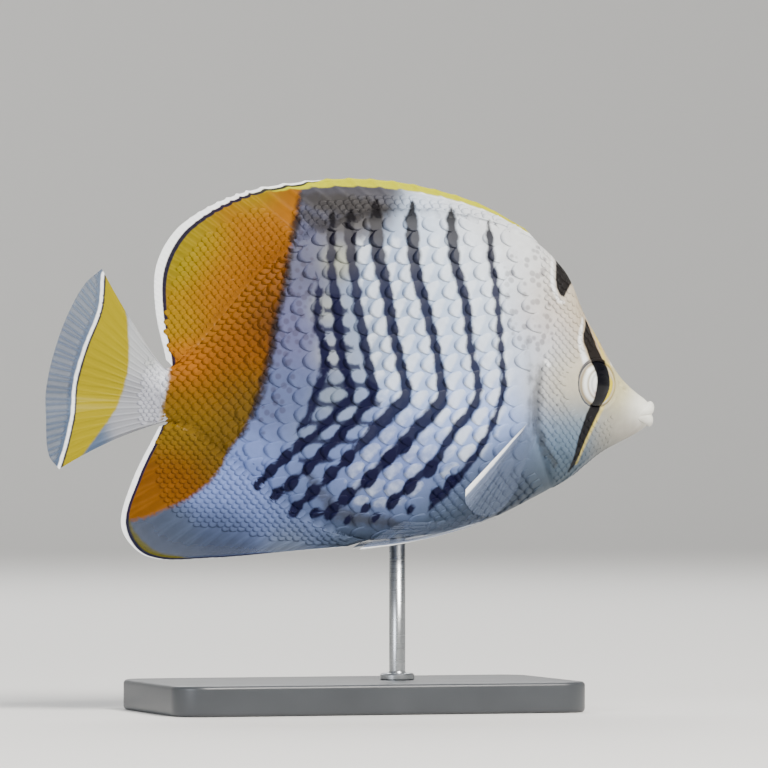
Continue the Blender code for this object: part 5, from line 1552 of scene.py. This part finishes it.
def flank_streaks(spots, along, across):
    """The pale slanting streak painted on each flank scale as a highlight, in millimetres inside it."""
    middle = STREAK_AT - STREAK_SLANT * across * np.sign(spots[:, 1])
    slant = STREAK_HALF - np.abs(along - middle) * STREAK_LENGTH
    field = np.minimum(slant, (STREAK_REACH - np.abs(across)) * STREAK_WIDTH)
    clear, faint = (
        area_field(flat_mm(spots), flank_place(area)) * STREAK_FADE
        for area in (STREAK_AREA, FAINT_STREAK_AREA)
    )
    return np.minimum(field, np.maximum(clear, np.minimum(faint, STREAK_FAINT)))


places, spots, ahead, orange = laid_out(*FLANK_ROWS)
breast = (spots[:, 2] < FLANK_OFF_BREAST) & (spots[:, 0] > BREAST_REAR)
keep = (ahead < FLANK_PAST_GILL) & ~breast & (orange < FLANK_OFF_ORANGE)
coat_body(
    "flank_scales", places[keep], big_tile, *FLANK_SIZE, 3, 0.45, "barred_skin", streak=flank_streaks,
    under_gill=True,
)

places, spots, _, orange = laid_out(*REAR_ROWS)
off_edge = np.abs(np.cos(places[:, 1])) < np.where(spots[:, 0] < STALK_FROM, STALK_HELD, 1.0)
keep = ((orange > REAR_OFF_ORANGE) | (spots[:, 0] < REAR_ALWAYS)) & off_edge
coat_body("rear_scales", places[keep], small_tile, *REAR_SIZE, 5, 0.5, "orange_skin")

places, spots, ahead, _ = laid_out(*HEAD_ROWS)
x, z = spots[:, 0], spots[:, 2]
centre, axis = eye_frame(1)
from_eye = eye_distance(spots - np.array([EYE_BARE_SHIFT, 0.0, 0.0]), centre, axis)[1]
from_nostril = np.min([
    np.hypot(x - NOSTRIL_BARE_SHIFT - at, z - level) - radius for at, level, radius in NOSTRILS
], axis=0)
past_cover = ahead > np.where((z > GILL_FOOT) & (z < GILL_SPAN[1]), HEAD_PAST_GILL, HEAD_PAST_NAPE)
keep = past_cover & (from_eye > EYE_BARE) & (from_nostril > NOSTRIL_BARE) & (z > GILL_FOOT)
sizes = 1.0 - SNOUT_SHRINK * smooth_step(x[keep], *SNOUT_FROM)
coat_body("head_scales", places[keep], small_tile, *HEAD_SIZE, 7, 0.35, "head_skin", sizes)

places, spots, ahead, _ = laid_out(*BREAST_ROWS)
x, z = spots[:, 0], spots[:, 2]
keep = (z < BREAST_TOP) & (x > BREAST_REAR) & ((ahead < BREAST_OFF_GILL) | (z < GILL_FOOT))
coat_body("breast_scales", places[keep], small_tile, *BREAST_SIZE, 9, 0.45, "barred_skin")

# The scaled bases of the upright fins: the scales climb the webs and shrink towards the rays' tips.
# Each row gives the pitch, how far up the web they reach at its two ends, the bare margin and a seed.
SHEATHS = {
    "spiny_dorsal": (0.00175, (0.20, 0.45), 0.0019, 11, "barred_skin"),
    "soft_dorsal": (0.00165, (0.50, 0.62), 0.0034, 12, "orange_skin"),
    "anal_web": (0.00165, (0.35, 0.60), 0.0030, 13, "anal_fin_skin"),
    "tail_web": (0.00125, (0.15, 0.15), 0.0, 14, "tail_fin_skin"),
}
SHEATH_ROW, SHEATH_LENGTH, SHEATH_WIDTH = 0.57, 1.9, 1.36
SHEATH_THICKNESS, SHEATH_LIFT, SHEATH_EDGE, SHEATH_SHRINK = 0.62, 0.6, 0.4, 0.25
SHEATH_FOOT, OFF_WEB, OFF_ROOT = -0.34, 0.0009, 0.0015
RAY_START, ROOT_REACH, SHEATH_AIM = 0.02, 0.02, 0.6


def surface_of(piece):
    """A piece's surface, ready to be probed from the side."""
    faces = [tuple(face.vertices) for face in piece.data.polygons]
    return BVHTree.FromPolygons([Vector(v) for v in vertices_of(piece)], faces)


def met_from(side, x, z, surfaces):
    """How far out each surface is met at (x, z) from one side, without those that are missed."""
    start, way = Vector((x, RAY_START * side, z)), Vector((0, -side, 0))
    hits = (surface.ray_cast(start, way)[0] for surface in surfaces)
    return [abs(hit.y) for hit in hits if hit is not None]


def settled_on(surfaces, points, sides, lift):
    """Points moved sideways to the outermost surface, and lifted off it."""
    settled = np.array(points)
    for k, (x, _, z) in enumerate(points):
        settled[k, 1] = (max(met_from(sides[k], x, z, surfaces), default=0.0) + lift[k]) * sides[k]
    return settled


skin_surface = surface_of(skin)
for fin, base_line, edge_line, share, reach in upright_fins:
    pitch, limits, margin, seed, slot_name = SHEATHS[fin.name]
    web, surfaces = vertices_of(fin)[:, [0, 2]], (surface_of(fin), skin_surface)
    low, high = web.min(axis=0), web.max(axis=0)
    columns, rows = ((high - low) / (pitch, pitch * SHEATH_ROW)).astype(int) + 1
    roots, rears, sizes = [], [], []
    for j, i in np.ndindex(rows, columns):
        spot = low + np.array([(i + 0.5 * (j % 2)) * pitch, j * pitch * SHEATH_ROW])
        away = np.sum((web - spot) ** 2, axis=1)
        k = int(np.argmin(away))
        ray = curve_at(edge_line, share[k : k + 1])[0] - curve_at(base_line, share[k : k + 1])[0]
        length = np.linalg.norm(ray)
        most = limits[0] + (limits[1] - limits[0]) * share[k]
        off_web = math.sqrt(away[k]) > (OFF_WEB if reach[k] > ROOT_REACH else OFF_ROOT)
        if off_web or not SHEATH_FOOT < reach[k] < most or length * (1 - reach[k]) < margin:
            continue
        rear = ray / length * SHEATH_AIM - np.array([1 - SHEATH_AIM, 0.0])
        rear = rear / np.linalg.norm(rear)
        spread = np.array([-rear[1], rear[0]]) * pitch * SHEATH_WIDTH / 2
        tip, middle = spot + rear * pitch * SHEATH_LENGTH, spot + rear * pitch
        if not all(met_from(1, x, z, surfaces) for x, z in (tip, middle - spread, middle + spread)):
            continue
        for side in (-1, 1):
            roots.append((spot[0], side, spot[1]))
            rears.append((rear[0], 0.0, rear[1]))
            sizes.append(1.0 - SHEATH_SHRINK * max(reach[k], 0.0) / most)
    sides, count = np.array(roots)[:, 1], len(roots)
    roots = settled_on(surfaces, np.array(roots), sides, np.zeros(count))
    normal = np.column_stack([np.zeros(count), sides, np.zeros(count)])
    coat = lay_tiles(
        fin.name + "_scales", roots, rears, normal, sizes, small_tile, pitch * SHEATH_LENGTH,
        pitch * SHEATH_WIDTH, SHEATH_THICKNESS, seed,
    )
    tile_sides, lift = np.repeat(sides, len(small_tile[1])), np.tile(small_tile[3], count) * SHEATH_LIFT
    settled = settled_on(surfaces, vertices_of(coat), tile_sides, lift)
    share_x, share_z = ((roots[:, [0, 2]] - low) / (high - low)).T
    map_x = share_x * 0.46 + np.where(sides > 0, 0.52, 0.02)
    root_map = np.column_stack([map_x, share_z * MAP_SPREAD + MAP_MARGIN])
    finish_coat(coat, settled, small_tile, root_map, SHEATH_EDGE)

for tile in (big_tile, small_tile):
    bpy.data.objects.remove(tile[0])


# Floor, light and camera
# A pale matt sweep, round like a shallow bowl, lit by large soft boxes. The camera looks at the
# fish's right side, with its nose turned 17 degrees away, level with the middle of the picture.
VIEW_TURN, VIEW_MIDDLE = math.radians(-17), (0.00628, 0.0, 0.06425)
VIEW_DISTANCE, VIEW_WIDTH, SENSOR_WIDTH = 1.60, 768 / 5080, 36.0
FLOOR_COLOUR, PAPER_TOOTH, TOOTH_DEPTH = "#E2E1DE", 0.0012, 0.00003
SWEEP = ((1.6, 0.0), (2.0, 0.02), (2.4, 0.12), (2.75, 0.34), (2.95, 0.66), (3.05, 1.1), (3.1, 1.8))
SWEEP_SIDES, SWEEP_RINGS = 96, 24
FISH_MIDDLE = (0.0, 0.0, 0.06)


def matt_paper(tree, place):
    """Pale matt paper, with a faint tooth."""
    normal, _ = fine_relief(tree, place, PAPER_TOOTH, 2.0, 0.1, TOOTH_DEPTH)
    return {"Base Color": linear(FLOOR_COLOUR), "Roughness": 0.85, "Normal": normal}


turns = np.linspace(0, 2 * math.pi, SWEEP_SIDES, endpoint=False)
rings = curve_at(SWEEP, np.linspace(0, 1, SWEEP_RINGS))
verts = [(0.0, 0.0, 0.0)] + [(r * math.cos(a), r * math.sin(a), z) for r, z in rings for a in turns]
faces = [(0, 1 + k, 1 + (k + 1) % SWEEP_SIDES) for k in range(SWEEP_SIDES)]
faces += [face[::-1] for face in ring_faces(SWEEP_RINGS, SWEEP_SIDES, 1)]
floor = piece_from("studio_sweep", verts, faces)
floor.data.materials.append(new_material("matt_studio_paper", matt_paper))


def soft_box(name, place, aim, size, watts, colour="#FFFFFF"):
    """A square soft box that faces a point."""
    lamp = bpy.data.lights.new(name, "AREA")
    lamp.energy, lamp.size = watts, size
    lamp.color = linear(colour)[:3]
    light = bpy.data.objects.new(name, lamp)
    light.location = place
    light.rotation_euler = (Vector(aim) - Vector(place)).to_track_quat("-Z", "Y").to_euler()
    bpy.context.scene.collection.objects.link(light)


soft_box("key_box", (0.25, -0.75, 0.95), FISH_MIDDLE, 0.5, 27.0, "#FFFBF5")
soft_box("fill_box", (-0.85, -0.60, 0.40), FISH_MIDDLE, 0.5, 6.0, "#F3F7FF")
soft_box("back_box", (0.1, 0.85, 0.80), FISH_MIDDLE, 0.7, 9.0)
for number, turn in enumerate((90, 0, 180, 270)):
    away = Vector((math.cos(math.radians(turn)), math.sin(math.radians(turn)), 0.0))
    place, aim = away * 1.7 + Vector((0, 0, 1.5)), away * 2.9 + Vector((0, 0, 0.35))
    soft_box("wall_box_" + str(number), place, aim, 0.8, 11.0)
world = bpy.data.worlds.new("studio")
world.use_nodes = True
world.node_tree.nodes["Background"].inputs["Color"].default_value = linear("#E8EBEF")
world.node_tree.nodes["Background"].inputs["Strength"].default_value = 0.28
bpy.context.scene.world = world

camera_data = bpy.data.cameras.new("studio_camera")
camera_data.sensor_width = SENSOR_WIDTH
camera_data.lens = SENSOR_WIDTH * VIEW_DISTANCE / VIEW_WIDTH
camera_data.clip_start = 0.01
camera = bpy.data.objects.new("studio_camera", camera_data)
view_way = Vector((math.sin(VIEW_TURN), -math.cos(VIEW_TURN), 0.0))
camera.location = Vector(VIEW_MIDDLE) + VIEW_DISTANCE * view_way
camera.rotation_euler = (math.radians(90), 0.0, VIEW_TURN)
bpy.context.scene.collection.objects.link(camera)
bpy.context.scene.camera = camera
